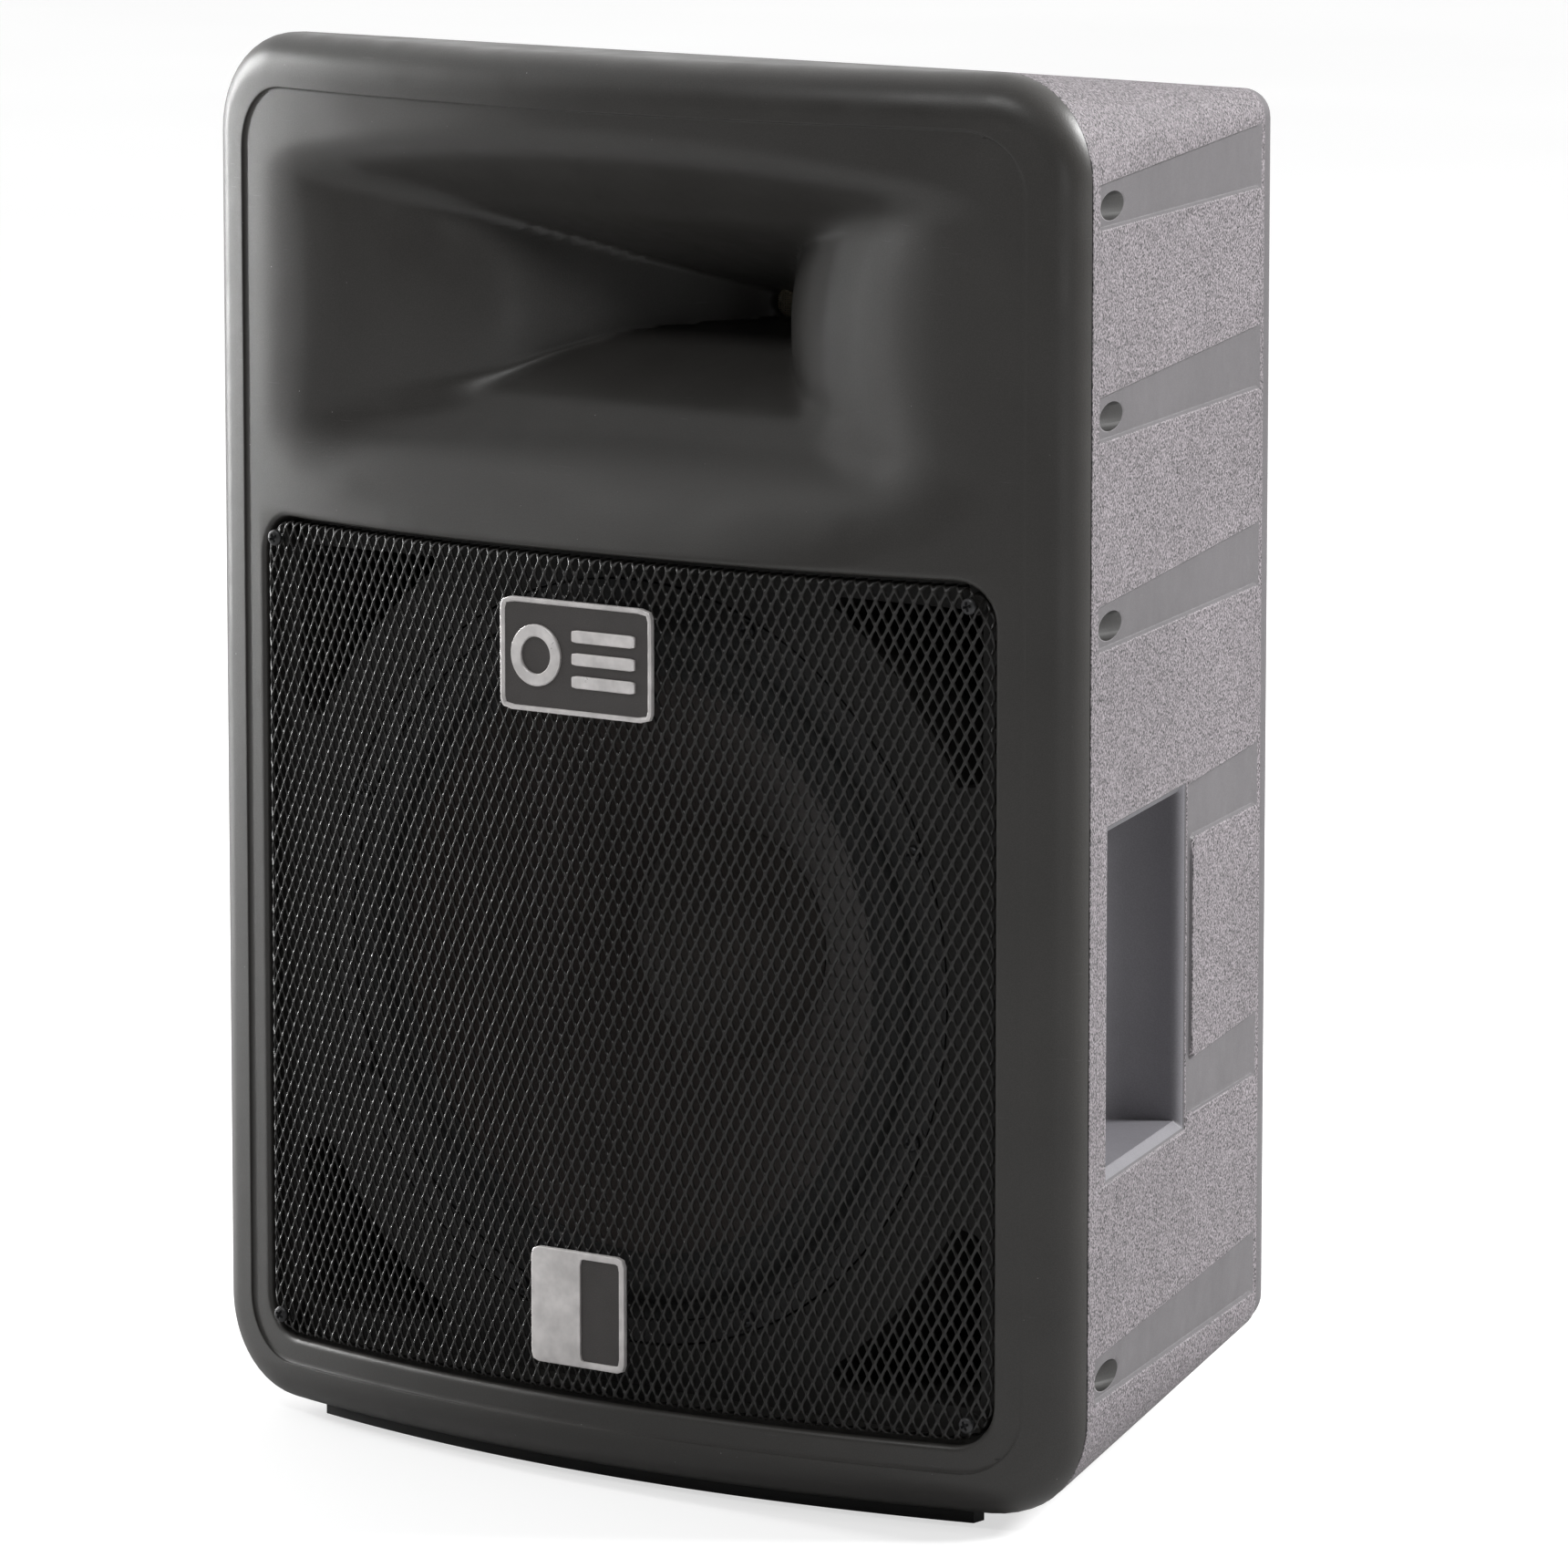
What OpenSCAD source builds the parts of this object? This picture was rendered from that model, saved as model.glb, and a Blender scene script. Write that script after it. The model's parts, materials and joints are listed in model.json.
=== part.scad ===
// Two-way PA speaker cabinet built from separate parts.
// Units are millimetres. X is to the right seen from the front, the front faces -Y, and Z is up.
// The origin is on the floor, on the middle line, in the plane where the two shells meet.

/* [Cabinet] */
// full width of the cabinet at the joint between the shells
cab_w = 524; // [518:1:536]
// height of the shells, feet not included
cab_h = 685; // [680:1:700]
// how far the shells stand above the floor
foot_h = 7; // [6:1:9]
// length of the rear shell behind the joint
rear_len = 325; // [320:1:335]
// wall thickness of both shells
wall = 5; // [4:0.5:5.5]
// radius of the outward bow of the front, seen from above
bow_r = 820; // [800:5:840]
// how far the middle of the front stands ahead of the joint
bow_depth = 54; // [52:1:56]
// corner radius of the cabinet seen from the front
corner_r = 50; // [45:1:55]
// radius of the rolled front edge
roll_r = 20; // [16:1:20]
// angle of each side towards the back
side_taper = 19.5; // [18.5:0.5:20]

/* [Woofer] */
// height of the woofer axis above the floor
woofer_z = 251; // [250:1:252]
// outer radius of the woofer frame
frame_r = 187; // [186:0.5:188]
// radius of the voice coil former
coil_r = 51; // [51:0.1:51.2]

/* [Horn] */
// height of the horn axis above the floor
horn_z = 562; // [560:1:564]
// distance from the joint back to the horn throat
throat_y = 112; // [110:1:116]
// radius of the horn throat
throat_r = 7; // [6:0.5:8]

/* [Fittings] */
// bore radius of the socket for a 35 mm speaker pole
pole_bore_r = 17.75; // [17.65:0.05:17.9]
// depth of the pole socket
pole_depth = 88; // [80:1:92]
// bore radius of the quarter inch jack sockets
jack_bore_r = 3.25; // [3.2:0.05:3.3]

/* [Hidden] */
$fn = 64;
hull_fn = 32;
bow_fn = 256;
half_w = cab_w / 2;
low_z = foot_h;
top_z = foot_h + cab_h;
mid_z = foot_h + cab_h / 2;
bow_y = bow_r - bow_depth;
roll_x = half_w - roll_r;
roll_y = bow_y - sqrt(pow(bow_r - roll_r, 2) - pow(roll_x, 2));

// front recess that holds the grille and the woofer
recess_w = 444;
recess_h = 413;
recess_z = 248.5;
recess_corner_r = 20;
baffle_y = -11;
baffle_t = 8;
seat_y = -5;
seat_r = 200;
cutout_r = 176;

// ports, one in each corner of the recess
port_out_x = 208;
port_in_x = 118;
port_out_z = 191.5;
port_in_z = 107.5;
port_arc_r = 220;
port_wall = 3;
port_end_y = 80;

// screws that join the shells
well_x = half_w - 15;
well_r = 6.75;
well_floor_y = 8;
well_heights = [71, 431, 530, 629];
case_screw_r = 2.5;

// rear shell form
draft = 0.1;
corner_change = 0.12;
taper_slope = tan(side_taper);
rear_roll = 22;

// side pockets used as handles
pocket_low_z = 165;
pocket_high_z = 337;
pocket_start = 30;
pocket_turn = 130;
pocket_depth = 55;
pocket_round_r = 45;
pocket_wall = 4;

// raised side pads with channels between them
pad_t = 2;
pad_end = 297;
channel_start = 12;
channel_front_h = 20;
channel_rear_h = 31;
long_channels = [630, 530.5, 432, 72.8];
short_channels = [321.5, 184.7];
short_channel_start = 178;

// grille
grille_gap = 2;
grille_drop = 1.5;
grille_t = 1.2;
grille_fold = 8;
fold_clear = grille_gap + grille_t + 0.3;
grille_screw_x = 211;
grille_screw_z = 195.5;
grille_screw_r = 2;
post_top_y = -20.5;
grille_head_y = -26.4;

// bead at each bend of a wire, in wire radii
wire_bead = 1.5;

// badges on the grille
badge_y = -56.5;
badge_t = 3;
badge_pin_r = 1.5;
name_size = [92, 55];
name_z = 404.5;
name_pin_x = 34;
model_size = [57, 57];
model_z = 87;
model_pin_x = 18;

// woofer, measured along Y
flange_t = 5;
woofer_screw_r = 2.5;
woofer_screw_pcd_r = 181.5;
surround_mid_r = 159;
surround_r = 8;
cone_out_r = 151;
neck_y = 73.8;
cone_t = 1.5;
cap_front_y = 50;
cap_sphere_r = 109.6;
cap_r = 57.8;
spider_y = 83;
motor_y = 102;
top_plate_t = 10;
magnet_t = 22;
back_plate_t = 10;
gap_r = 53.6;
pole_r = 49;

// compression driver, measured back from its mounting face
horn_flange_r = 52;
driver_y = throat_y + 6;
driver_gasket_t = 1;
driver_bolt_x = 38;
driver_bolt_r = 3;
dome_r = 17.4;

// crossover board
board_y = 300;
board_t = 1.6;
board_w = 170;
board_h = 120;
board_z = 470;
board_screw_x = 78;
board_screw_z = 53;

// input plate on the back
input_z = 130;
input_y = rear_len - 3;
input_t = 2.5;
input_w = 140;
input_h = 90;
input_screw_x = 65;
input_screw_z = 40;
socket_x = 34;
twist_z = input_z + 10;
jack_z = input_z - 17;

// pole socket and feet
pole_y = 100;
pole_flange_z = 9;
pole_flange_t = 3;
leg_x = 95;
leg_y = 235;
leg_r = 17;

// ---- shared helpers ----

// a round bar along Y
module rod_y(r, y0, y1, x = 0, z = 0) {
  translate([x, y0, z]) rotate([-90, 0, 0]) cylinder(r = r, h = y1 - y0);
}

// a tube along Y
module tube_y(r_in, r_out, y0, y1, x = 0, z = 0) {
  difference() {
    rod_y(r_out, y0, y1, x, z);
    rod_y(r_in, y0 - 1, y1 + 1, x, z);
  }
}

// a turned shape about an axis along Y, from 2D children drawn as (radius, y)
module turned_y(z) {
  translate([0, 0, z]) rotate([-90, 0, 0]) rotate_extrude() children();
}

// a box given by its low and high corners
module box(low, high) {
  translate(low) cube(high - low);
}

module rounded(w, h, r) {
  square([w - 2 * r, h], center = true);
  square([w, h - 2 * r], center = true);
  for (sx = [-1, 1], sy = [-1, 1]) {
    translate([sx * (w / 2 - r), sy * (h / 2 - r)]) circle(r);
  }
}

// draws a 2D shape in the XZ plane and gives it depth along Y
module slab_y(y0, y1, z = 0) {
  translate([0, y1, z]) rotate([90, 0, 0]) linear_extrude(y1 - y0) children();
}

module plate_y(w, h, r, y0, y1, z) {
  slab_y(y0, y1, z) rounded(w, h, r);
}

// a pan head screw along Y, its head on the -Y side
module screw_front(x, z, seat, tip, r, head_r, head_h) {
  rod_y(r, seat, tip, x, z);
  rod_y(head_r, seat - head_h, seat, x, z);
}

// a pan head screw along Y, its head on the +Y side
module screw_rear(x, z, seat, tip, r, head_r, head_h) {
  rod_y(r, tip, seat, x, z);
  rod_y(head_r, seat, seat + head_h, x, z);
}

// a round wire that passes through the listed points
module wire(points, r) {
  for (i = [0 : len(points) - 2]) {
    step = points[i + 1] - points[i];
    flat = norm([step.x, step.y]);
    translate(points[i]) rotate([0, atan2(flat, step.z), atan2(step.y, step.x)]) cylinder(r = r, h = norm(step));
  }
  for (i = [1 : len(points) - 2]) {
    translate(points[i]) sphere(r * wire_bead);
  }
}

// ---- forms shared by several parts ----

// the bowed front, shrunk all round by inset and cut off at the plane y = back
module front_form(inset, back) {
  r = bow_r - inset;
  edge = roll_r - inset;
  intersection() {
    plate_y(cab_w - 2 * inset, cab_h - 2 * inset, corner_r - inset, -70, back, mid_z);
    translate([0, bow_y, 0]) rotate_extrude($fn = bow_fn) {
      translate([0, low_z + inset]) square([r - edge, cab_h - 2 * inset]);
      translate([0, low_z + roll_r]) square([r, cab_h - 2 * roll_r]);
      for (z = [low_z + roll_r, top_z - roll_r]) {
        translate([r - edge, z]) circle(edge, $fn = hull_fn);
      }
    }
    linear_extrude(top_z + 1) {
      side = roll_x + edge * roll_x / (bow_r - roll_r);
      translate([-side, -70]) square([2 * side, 70 + back]);
      for (s = [-1, 1]) {
        translate([s * roll_x, roll_y]) circle(edge);
        translate([s * roll_x - edge, roll_y]) square([2 * edge, 5]);
      }
    }
  }
}

module rear_section(y, inset, extra = 0) {
  shrink = inset + extra;
  w = cab_w - 2 * taper_slope * y - 2 * shrink;
  h = cab_h - 2 * draft * y - 2 * shrink;
  r = max(corner_r - corner_change * y - inset, 4);
  plate_y(w, h, r, y, y + 0.05, mid_z, $fn = hull_fn);
}

// the tapered rear form, shrunk by inset, from y = start to y = end
module rear_form(inset, start, end) {
  hull() {
    rear_section(start, inset);
    rear_section(end - rear_roll, inset);
    rear_section(end - rear_roll * 0.35, inset, rear_roll * 0.24);
    rear_section(end - 0.05, inset, rear_roll);
  }
}

// places children on the right side plane: x outwards, y back along the side
module on_side(side) {
  mirror([side < 0 ? 1 : 0, 0, 0]) translate([half_w, 0, 0]) rotate([0, 0, side_taper]) children();
}

// cuts a flat shape, drawn as (distance back, height), into the raised side pads
module pad_cut(side, points) {
  on_side(side) translate([-pad_t, 0, 0]) rotate([90, 0, 90]) linear_extrude(pad_t + 20) polygon(points);
}

// plan of a handle pocket, grown by grow
module pocket_plan(grow, out) {
  translate([-pocket_depth - grow, pocket_start - grow]) {
    square([pocket_depth + grow + out, pocket_turn - pocket_start + 2 * grow]);
  }
  translate([-10, pocket_turn]) circle(pocket_round_r + grow);
  translate([-10, pocket_start]) square([10 + out, pocket_turn + pocket_round_r - pocket_start + grow]);
}

module pocket(side, grow, out) {
  on_side(side) {
    translate([0, 0, pocket_low_z - grow]) linear_extrude(pocket_high_z - pocket_low_z + 2 * grow) {
      pocket_plan(grow, out);
    }
  }
}

// outline of one corner port, upper right, as seen from the front
module port_outline(grow) {
  difference() {
    translate([port_in_x - grow, port_in_z - grow]) {
      square([port_out_x - port_in_x + 2 * grow, port_out_z - port_in_z + 2 * grow]);
    }
    translate([0, woofer_z - recess_z]) circle(port_arc_r - grow);
  }
}

module ports(grow, y0, y1) {
  for (sx = [0, 1], sz = [0, 1]) {
    slab_y(y0, y1, recess_z) mirror([sx, 0]) mirror([0, sz]) port_outline(grow);
  }
}

// a flat rectangle across the horn at one depth
module horn_step(y, half, low, high, grow) {
  box([-half - grow, y, low - grow], [half + grow, y + 0.05, high + grow]);
}

// the horn flare, grown by grow for its outside
module horn_form(grow) {
  hull() {
    horn_step(throat_y, throat_r, horn_z - throat_r, horn_z + throat_r, grow);
    horn_step(0, 88, horn_z - 31, horn_z + 49, grow);
  }
  hull() {
    horn_step(0, 88, horn_z - 31, horn_z + 49, grow);
    horn_step(-60, 275, horn_z - 99, horn_z + 96, grow);
  }
}

module at_wells() {
  for (s = [-1, 1], z = well_heights) {
    translate([s * well_x, 0, z]) children();
  }
}

module at_grille_screws() {
  for (s = [-1, 1], t = [-1, 1]) {
    translate([s * grille_screw_x, 0, recess_z + t * grille_screw_z]) children();
  }
}

module at_woofer_screws() {
  for (i = [0 : 7]) {
    a = 22.5 + 45 * i;
    translate([woofer_screw_pcd_r * cos(a), 0, woofer_z + woofer_screw_pcd_r * sin(a)]) children();
  }
}

module at_board_screws() {
  for (s = [-1, 1], t = [-1, 1]) {
    translate([s * board_screw_x, 0, board_z + t * board_screw_z]) children();
  }
}

module at_input_screws() {
  for (s = [-1, 1], t = [-1, 1]) {
    translate([s * input_screw_x, 0, input_z + t * input_screw_z]) children();
  }
}

module at_twist_screws() {
  for (s = [-1, 1], t = [-1, 1]) {
    translate([s * socket_x + t * 12, 0, twist_z + t * 12]) children();
  }
}

module at_pole_screws() {
  for (i = [0 : 3]) {
    translate([29 * cos(45 + 90 * i), pole_y + 29 * sin(45 + 90 * i), 0]) children();
  }
}

// positions of the foot screws: three in the front foot, one in each rear foot
module at_foot_screws() {
  for (x = [-120, 0, 120]) {
    translate([x, -10, 0]) children();
  }
  for (s = [-1, 1]) {
    translate([s * leg_x, leg_y, 0]) children();
  }
}

// ---- shells ----

module front_shell() {
  color([0.24, 0.24, 0.24]) {
    front_moulding();
    intersection() {
      at_grille_screws() tube_y(grille_screw_r, 5, post_top_y, baffle_y + 1);
      plate_y(recess_w - 2 * fold_clear, recess_h - 2 * fold_clear, recess_corner_r - fold_clear, -70, 0, recess_z);
    }
  }
}

module front_moulding() {
  difference() {
    union() {
      difference() {
        front_form(0, 0);
        difference() {
          front_form(wall, 1);
          box([-recess_w / 2 - wall, -70, recess_z - recess_h / 2 - wall],
            [recess_w / 2 + wall, baffle_y + baffle_t, recess_z + recess_h / 2 + wall]);
          rod_y(seat_r, -30, 2, 0, woofer_z);
          horn_form(4);
          at_wells() rod_y(9, -30, 2);
          at_foot_screws() box([-6, -6, 0], [6, 6, 24]);
        }
      }
      intersection() {
        horn_form(4);
        box([-100, -1, 400], [100, throat_y, 700]);
      }
      rod_y(horn_flange_r, throat_y - 2, driver_y, 0, horn_z);
      ports(port_wall, baffle_y, port_end_y);
    }
    plate_y(recess_w, recess_h, recess_corner_r, -70, baffle_y, recess_z);
    horn_form(0);
    rod_y(throat_r, throat_y - 2, driver_y + 1, 0, horn_z);
    rod_y(throat_r + 2.2, driver_y - 4, driver_y + 1, 0, horn_z);
    for (s = [-1, 1]) {
      rod_y(driver_bolt_r + 0.2, throat_y - 3, driver_y + 1, s * driver_bolt_x, horn_z);
    }
    rod_y(frame_r + 1, -30, seat_y, 0, woofer_z);
    rod_y(cutout_r, -30, 10, 0, woofer_z);
    ports(0, -30, port_end_y + 1);
    at_wells() rod_y(case_screw_r, -9.5, 1);
    at_woofer_screws() rod_y(woofer_screw_r, -6, 1);
    at_foot_screws() translate([0, 0, low_z - 1]) cylinder(r = 2, h = 15);
  }
}

module rear_shell() {
  color([0.27, 0.27, 0.27]) difference() {
    union() {
      difference() {
        rear_form(0, 0, rear_len);
        difference() {
          rear_form(wall, -0.1, rear_len - wall);
          at_wells() rod_y(well_r + 3.5, -1, 60);
          pocket(-1, pocket_wall, 0);
          pocket(1, pocket_wall, 0);
          box([-80, rear_len - 15, input_z - 55], [80, rear_len, input_z + 55]);
          at_board_screws() rod_y(4, board_y + board_t, rear_len);
          translate([0, pole_y, 0]) cylinder(r = 40, h = 34);
          for (s = [-1, 1]) {
            translate([s * leg_x, leg_y, 0]) cylinder(r = leg_r, h = 46);
          }
        }
      }
      translate([0, pole_y, pole_flange_z + pole_flange_t]) cylinder(r = 40, h = 12);
      for (s = [-1, 1]) {
        translate([s * leg_x, leg_y, low_z]) cylinder(r = leg_r, h = 30);
      }
    }
    at_wells() {
      rod_y(well_r, well_floor_y, 120);
      rod_y(case_screw_r + 0.3, -1, 20);
    }
    pocket(-1, 0, 30);
    pocket(1, 0, 30);
    for (side = [-1, 1]) {
      pad_cut(side, [[pad_end, 0], [pad_end + 60, 0], [pad_end + 60, top_z], [pad_end, top_z]]);
      for (z = long_channels) {
        channel(side, z, channel_start);
      }
      for (z = short_channels) {
        channel(side, z, short_channel_start);
      }
    }
    box([-input_w / 2 - 0.5, input_y, input_z - input_h / 2 - 0.5],
      [input_w / 2 + 0.5, rear_len + 5, input_z + input_h / 2 + 0.5]);
    box([-58, rear_len - 20, input_z - 32], [58, rear_len, input_z + 32]);
    at_input_screws() rod_y(1.5, rear_len - 13, rear_len);
    at_board_screws() rod_y(1.5, board_y, board_y + 14);
    translate([0, pole_y, 0]) cylinder(r = pole_bore_r + 4.5, h = 60);
    at_pole_screws() cylinder(r = 2, h = 30);
    at_foot_screws() translate([0, 0, low_z - 1]) cylinder(r = 2, h = 15);
    difference() {
      plate_y(cab_w - 3, cab_h - 3, corner_r - 1.5, -1, 1.5, mid_z);
      plate_y(cab_w - 7, cab_h - 7, corner_r - 3.5, -2, 2, mid_z);
    }
  }
}

// one tapering channel between two pads
module channel(side, z, start) {
  slope = (channel_rear_h - channel_front_h) / (pad_end - channel_start);
  half_start = (channel_front_h + slope * (start - channel_start)) / 2;
  half_end = channel_rear_h / 2;
  pad_cut(side, [[start, z - half_start], [pad_end + 5, z - half_end],
    [pad_end + 5, z + half_end], [start, z + half_start]]);
}

module shell_gasket() {
  color([0.06, 0.06, 0.06]) difference() {
    plate_y(cab_w - 3.2, cab_h - 3.2, corner_r - 1.6, 0, 1.5, mid_z);
    plate_y(cab_w - 6.8, cab_h - 6.8, corner_r - 3.4, -1, 2, mid_z);
  }
}

module shell_screws() {
  color([0.2, 0.2, 0.21]) at_wells() {
    screw_rear(0, 0, well_floor_y, -9, case_screw_r, 4.6, 3.2);
  }
}

// ---- grille and badges ----

// the bowed sheet between two depths below the front surface
module bow_layer(depth_0, depth_1) {
  translate([0, bow_y, 0]) difference() {
    cylinder(r = bow_r - depth_0, h = top_z, $fn = bow_fn);
    translate([0, 0, -1]) cylinder(r = bow_r - depth_1, h = top_z + 2, $fn = bow_fn);
  }
}

module grille() {
  w = recess_w - 2 * grille_gap;
  h = recess_h - 2 * grille_gap;
  r = recess_corner_r - grille_gap;
  color([0.1, 0.09, 0.09]) difference() {
    intersection() {
      bow_layer(grille_drop, grille_drop + grille_fold);
      plate_y(w, h, r, -70, 0, recess_z);
    }
    intersection() {
      bow_layer(grille_drop + grille_t, grille_drop + grille_fold + 5);
      plate_y(w - 2 * grille_t, h - 2 * grille_t, r - grille_t, -70, 0, recess_z);
    }
    at_grille_screws() rod_y(grille_screw_r + 0.3, -40, 0);
    for (s = [-1, 1]) {
      rod_y(badge_pin_r + 0.3, -60, -30, s * name_pin_x, name_z);
      rod_y(badge_pin_r + 0.3, -60, -30, s * model_pin_x, model_z);
    }
  }
}

module grille_screws() {
  color([0.5, 0.5, 0.52]) at_grille_screws() {
    screw_front(0, 0, grille_head_y, -13, grille_screw_r, 4, 2.6);
  }
}

module name_badge() {
  color([0.7, 0.7, 0.72]) {
    difference() {
      plate_y(name_size.x, name_size.y, 5, badge_y, badge_y + badge_t, name_z);
      plate_y(name_size.x - 5, name_size.y - 5, 3, badge_y - 1, badge_y + 1, name_z);
    }
    for (s = [-1, 1]) {
      rod_y(badge_pin_r, badge_y + badge_t - 1, badge_y + badge_t + 8, s * name_pin_x, name_z);
    }
  }
}

// a plain raised mark: a ring beside three bars
module name_emblem() {
  color([0.8, 0.8, 0.82]) {
    tube_y(9, 15, badge_y - 0.6, badge_y + 1, -24, name_z);
    for (i = [-1 : 1]) {
      box([-2, badge_y - 0.6, name_z + 11 * i - 3], [36, badge_y + 1, name_z + 11 * i + 3]);
    }
  }
}

module model_badge() {
  color([0.68, 0.68, 0.7]) {
    difference() {
      plate_y(model_size.x, model_size.y, 4, badge_y, badge_y + badge_t, model_z);
      box([1, badge_y - 1, model_z - 25], [25.5, badge_y + 1, model_z + 25]);
    }
    for (s = [-1, 1]) {
      rod_y(badge_pin_r, badge_y + badge_t - 1, badge_y + badge_t + 8, s * model_pin_x, model_z);
    }
  }
}

module badge_nuts() {
  color([0.55, 0.55, 0.56]) for (s = [-1, 1]) {
    tube_y(badge_pin_r, 4, -49.5, -48, s * name_pin_x, name_z);
    tube_y(badge_pin_r, 4, -49.5, -48, s * model_pin_x, model_z);
  }
}

// ---- woofer ----

module woofer_frame() {
  color([0.16, 0.16, 0.17]) difference() {
    turned_y(woofer_z) polygon([[frame_r, baffle_y], [frame_r, baffle_y + flange_t], [175, -6], [101, 84],
      [101, motor_y], [60, motor_y], [60, 98], [97, 98], [97, 88], [86, 88], [86, 84], [96.5, 84],
      [171, -6.5], [166, -6.5], [166, -9], [176, -9], [176, baffle_y]]);
    for (i = [0 : 5]) {
      translate([0, 0, woofer_z]) rotate([0, 60 * i, 0]) box([-35, 8, 70], [35, 78, 200]);
    }
    at_woofer_screws() rod_y(woofer_screw_r + 0.3, -20, 0);
  }
}

module woofer_gasket() {
  color([0.07, 0.07, 0.07]) difference() {
    tube_y(cutout_r + 0.5, frame_r - 0.5, baffle_y + flange_t, seat_y, 0, woofer_z);
    at_woofer_screws() rod_y(woofer_screw_r + 0.3, -20, 0);
  }
}

// half-roll edge that lets the cone move
module woofer_surround() {
  roll_out = surround_mid_r + surround_r;
  roll_in = surround_mid_r - surround_r;
  color([0.08, 0.08, 0.08]) turned_y(woofer_z) {
    difference() {
      translate([surround_mid_r, -9.5]) circle(surround_r + 0.5);
      translate([surround_mid_r, -9.5]) circle(surround_r - 0.5);
      translate([roll_in - 5, -9]) square([30, 20]);
    }
    translate([roll_out - 0.5, -10]) square([9, 1]);
    translate([roll_in - 8, -10]) square([8.5, 1]);
  }
}

module woofer_cone() {
  color([0.13, 0.11, 0.1]) turned_y(woofer_z) polygon([[143, -9], [cone_out_r, -9], [cone_out_r, -9 + cone_t],
    [143.8, -9 + cone_t], [coil_r + 1.5, neck_y + 1.2], [coil_r + 1.5, neck_y + 8], [coil_r, neck_y + 8],
    [coil_r, neck_y]]);
}

module woofer_dust_cap() {
  centre_y = cap_front_y + cap_sphere_r;
  color([0.12, 0.1, 0.09]) turned_y(woofer_z) intersection() {
    difference() {
      translate([0, centre_y]) circle(cap_sphere_r);
      translate([0, centre_y]) circle(cap_sphere_r - 1);
    }
    translate([0, cap_front_y - 1]) square([cap_r, 25]);
  }
}

module woofer_voice_coil() {
  winding_r = coil_r + 1.2;
  color([0.7, 0.4, 0.2]) turned_y(woofer_z) polygon([[coil_r - 1, neck_y], [coil_r, neck_y], [coil_r, 98],
    [winding_r, 98], [winding_r, 117], [coil_r, 117], [coil_r, 120], [coil_r - 1, 120]]);
}

// corrugated disc that centres the voice coil
module woofer_spider() {
  waves = 6;
  pitch = 4.6;
  start = coil_r + 1.5;
  front = [for (i = [0 : waves]) [start + i * pitch, spider_y + (i % 2) * 1.6 - 1]];
  back = [for (i = [waves : -1 : 0]) [start + i * pitch, spider_y + (i % 2) * 1.6]];
  color([0.75, 0.6, 0.3]) turned_y(woofer_z) {
    polygon(concat([[coil_r, spider_y - 1]], front, [[86, spider_y - 1], [95, spider_y - 1], [95, spider_y],
      [86, spider_y]], back, [[coil_r, spider_y]]));
  }
}

module woofer_top_plate() {
  color([0.45, 0.45, 0.46]) tube_y(gap_r, 84, motor_y, motor_y + top_plate_t, 0, woofer_z);
}

module woofer_magnet() {
  y = motor_y + top_plate_t;
  color([0.14, 0.14, 0.14]) tube_y(62, 95, y, y + magnet_t, 0, woofer_z);
}

// back plate turned in one piece with the vented pole
module woofer_back_plate() {
  y = motor_y + top_plate_t + magnet_t;
  color([0.42, 0.42, 0.43]) turned_y(woofer_z) polygon([[12, motor_y - 2], [pole_r, motor_y - 2], [pole_r, y],
    [88, y], [88, y + back_plate_t], [12, y + back_plate_t]]);
}

module woofer_terminals() {
  color([0.5, 0.1, 0.08]) {
    box([-14, 87, woofer_z + 101], [14, 99, woofer_z + 110]);
    for (s = [-1, 1]) {
      box([s * 8 - 2.4, 98, woofer_z + 105], [s * 8 + 2.4, 106, woofer_z + 106]);
    }
  }
}

// flexible leads from the terminals to the neck of the cone
module woofer_leads() {
  color([0.72, 0.5, 0.3]) for (s = [-1, 1]) {
    wire([[s * 8, 76, woofer_z + 56], [s * 8, 76, woofer_z + 108.5], [s * 8, 86.8, woofer_z + 107]], 0.8);
  }
}

module woofer_screws() {
  color([0.12, 0.12, 0.12]) at_woofer_screws() {
    screw_front(0, 0, baffle_y, -1, woofer_screw_r, 4.2, 3);
  }
}

// ---- compression driver ----

module throat_screen() {
  color([0.75, 0.7, 0.6]) rod_y(throat_r + 2, driver_y - 4, driver_y - 3.4, 0, horn_z);
}

module hf_gasket() {
  color([0.07, 0.07, 0.07]) difference() {
    tube_y(throat_r + 2.5, 49, driver_y, driver_y + driver_gasket_t, 0, horn_z);
    at_driver_bolts() rod_y(driver_bolt_r + 0.2, 0, driver_y + 5);
  }
}

module at_driver_bolts() {
  for (s = [-1, 1]) {
    translate([s * driver_bolt_x, 0, horn_z]) children();
  }
}

// all the remaining driver parts are placed from the driver's front face
module at_driver() {
  translate([0, driver_y + driver_gasket_t, 0]) children();
}

module hf_front_plate() {
  color([0.4, 0.4, 0.41]) difference() {
    at_driver() turned_y(horn_z) polygon([[8, 0], [50, 0], [50, 8], [17, 8], [17, 30], [13, 30]]);
    at_driver_bolts() rod_y(driver_bolt_r, 0, driver_y + 10);
  }
}

module hf_magnet() {
  color([0.14, 0.14, 0.14]) at_driver() tube_y(24, 46, 8, 24, 0, horn_z);
}

module hf_top_plate() {
  color([0.42, 0.42, 0.43]) at_driver() tube_y(18.6, 48, 24, 30, 0, horn_z);
}

// bullet with a slotted rim that evens out the path from the dome to the throat
module hf_phase_plug() {
  color([0.2, 0.2, 0.2]) at_driver() {
    tube_y(14.5, 17, 30, 32, 0, horn_z);
    turned_y(horn_z) polygon([[0, 12], [9, 30], [9, 32], [0, 32]]);
    for (a = [0, 90]) {
      translate([0, 0, horn_z]) rotate([0, a, 0]) box([-15, 30, -1], [15, 32, 1]);
    }
  }
}

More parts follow.
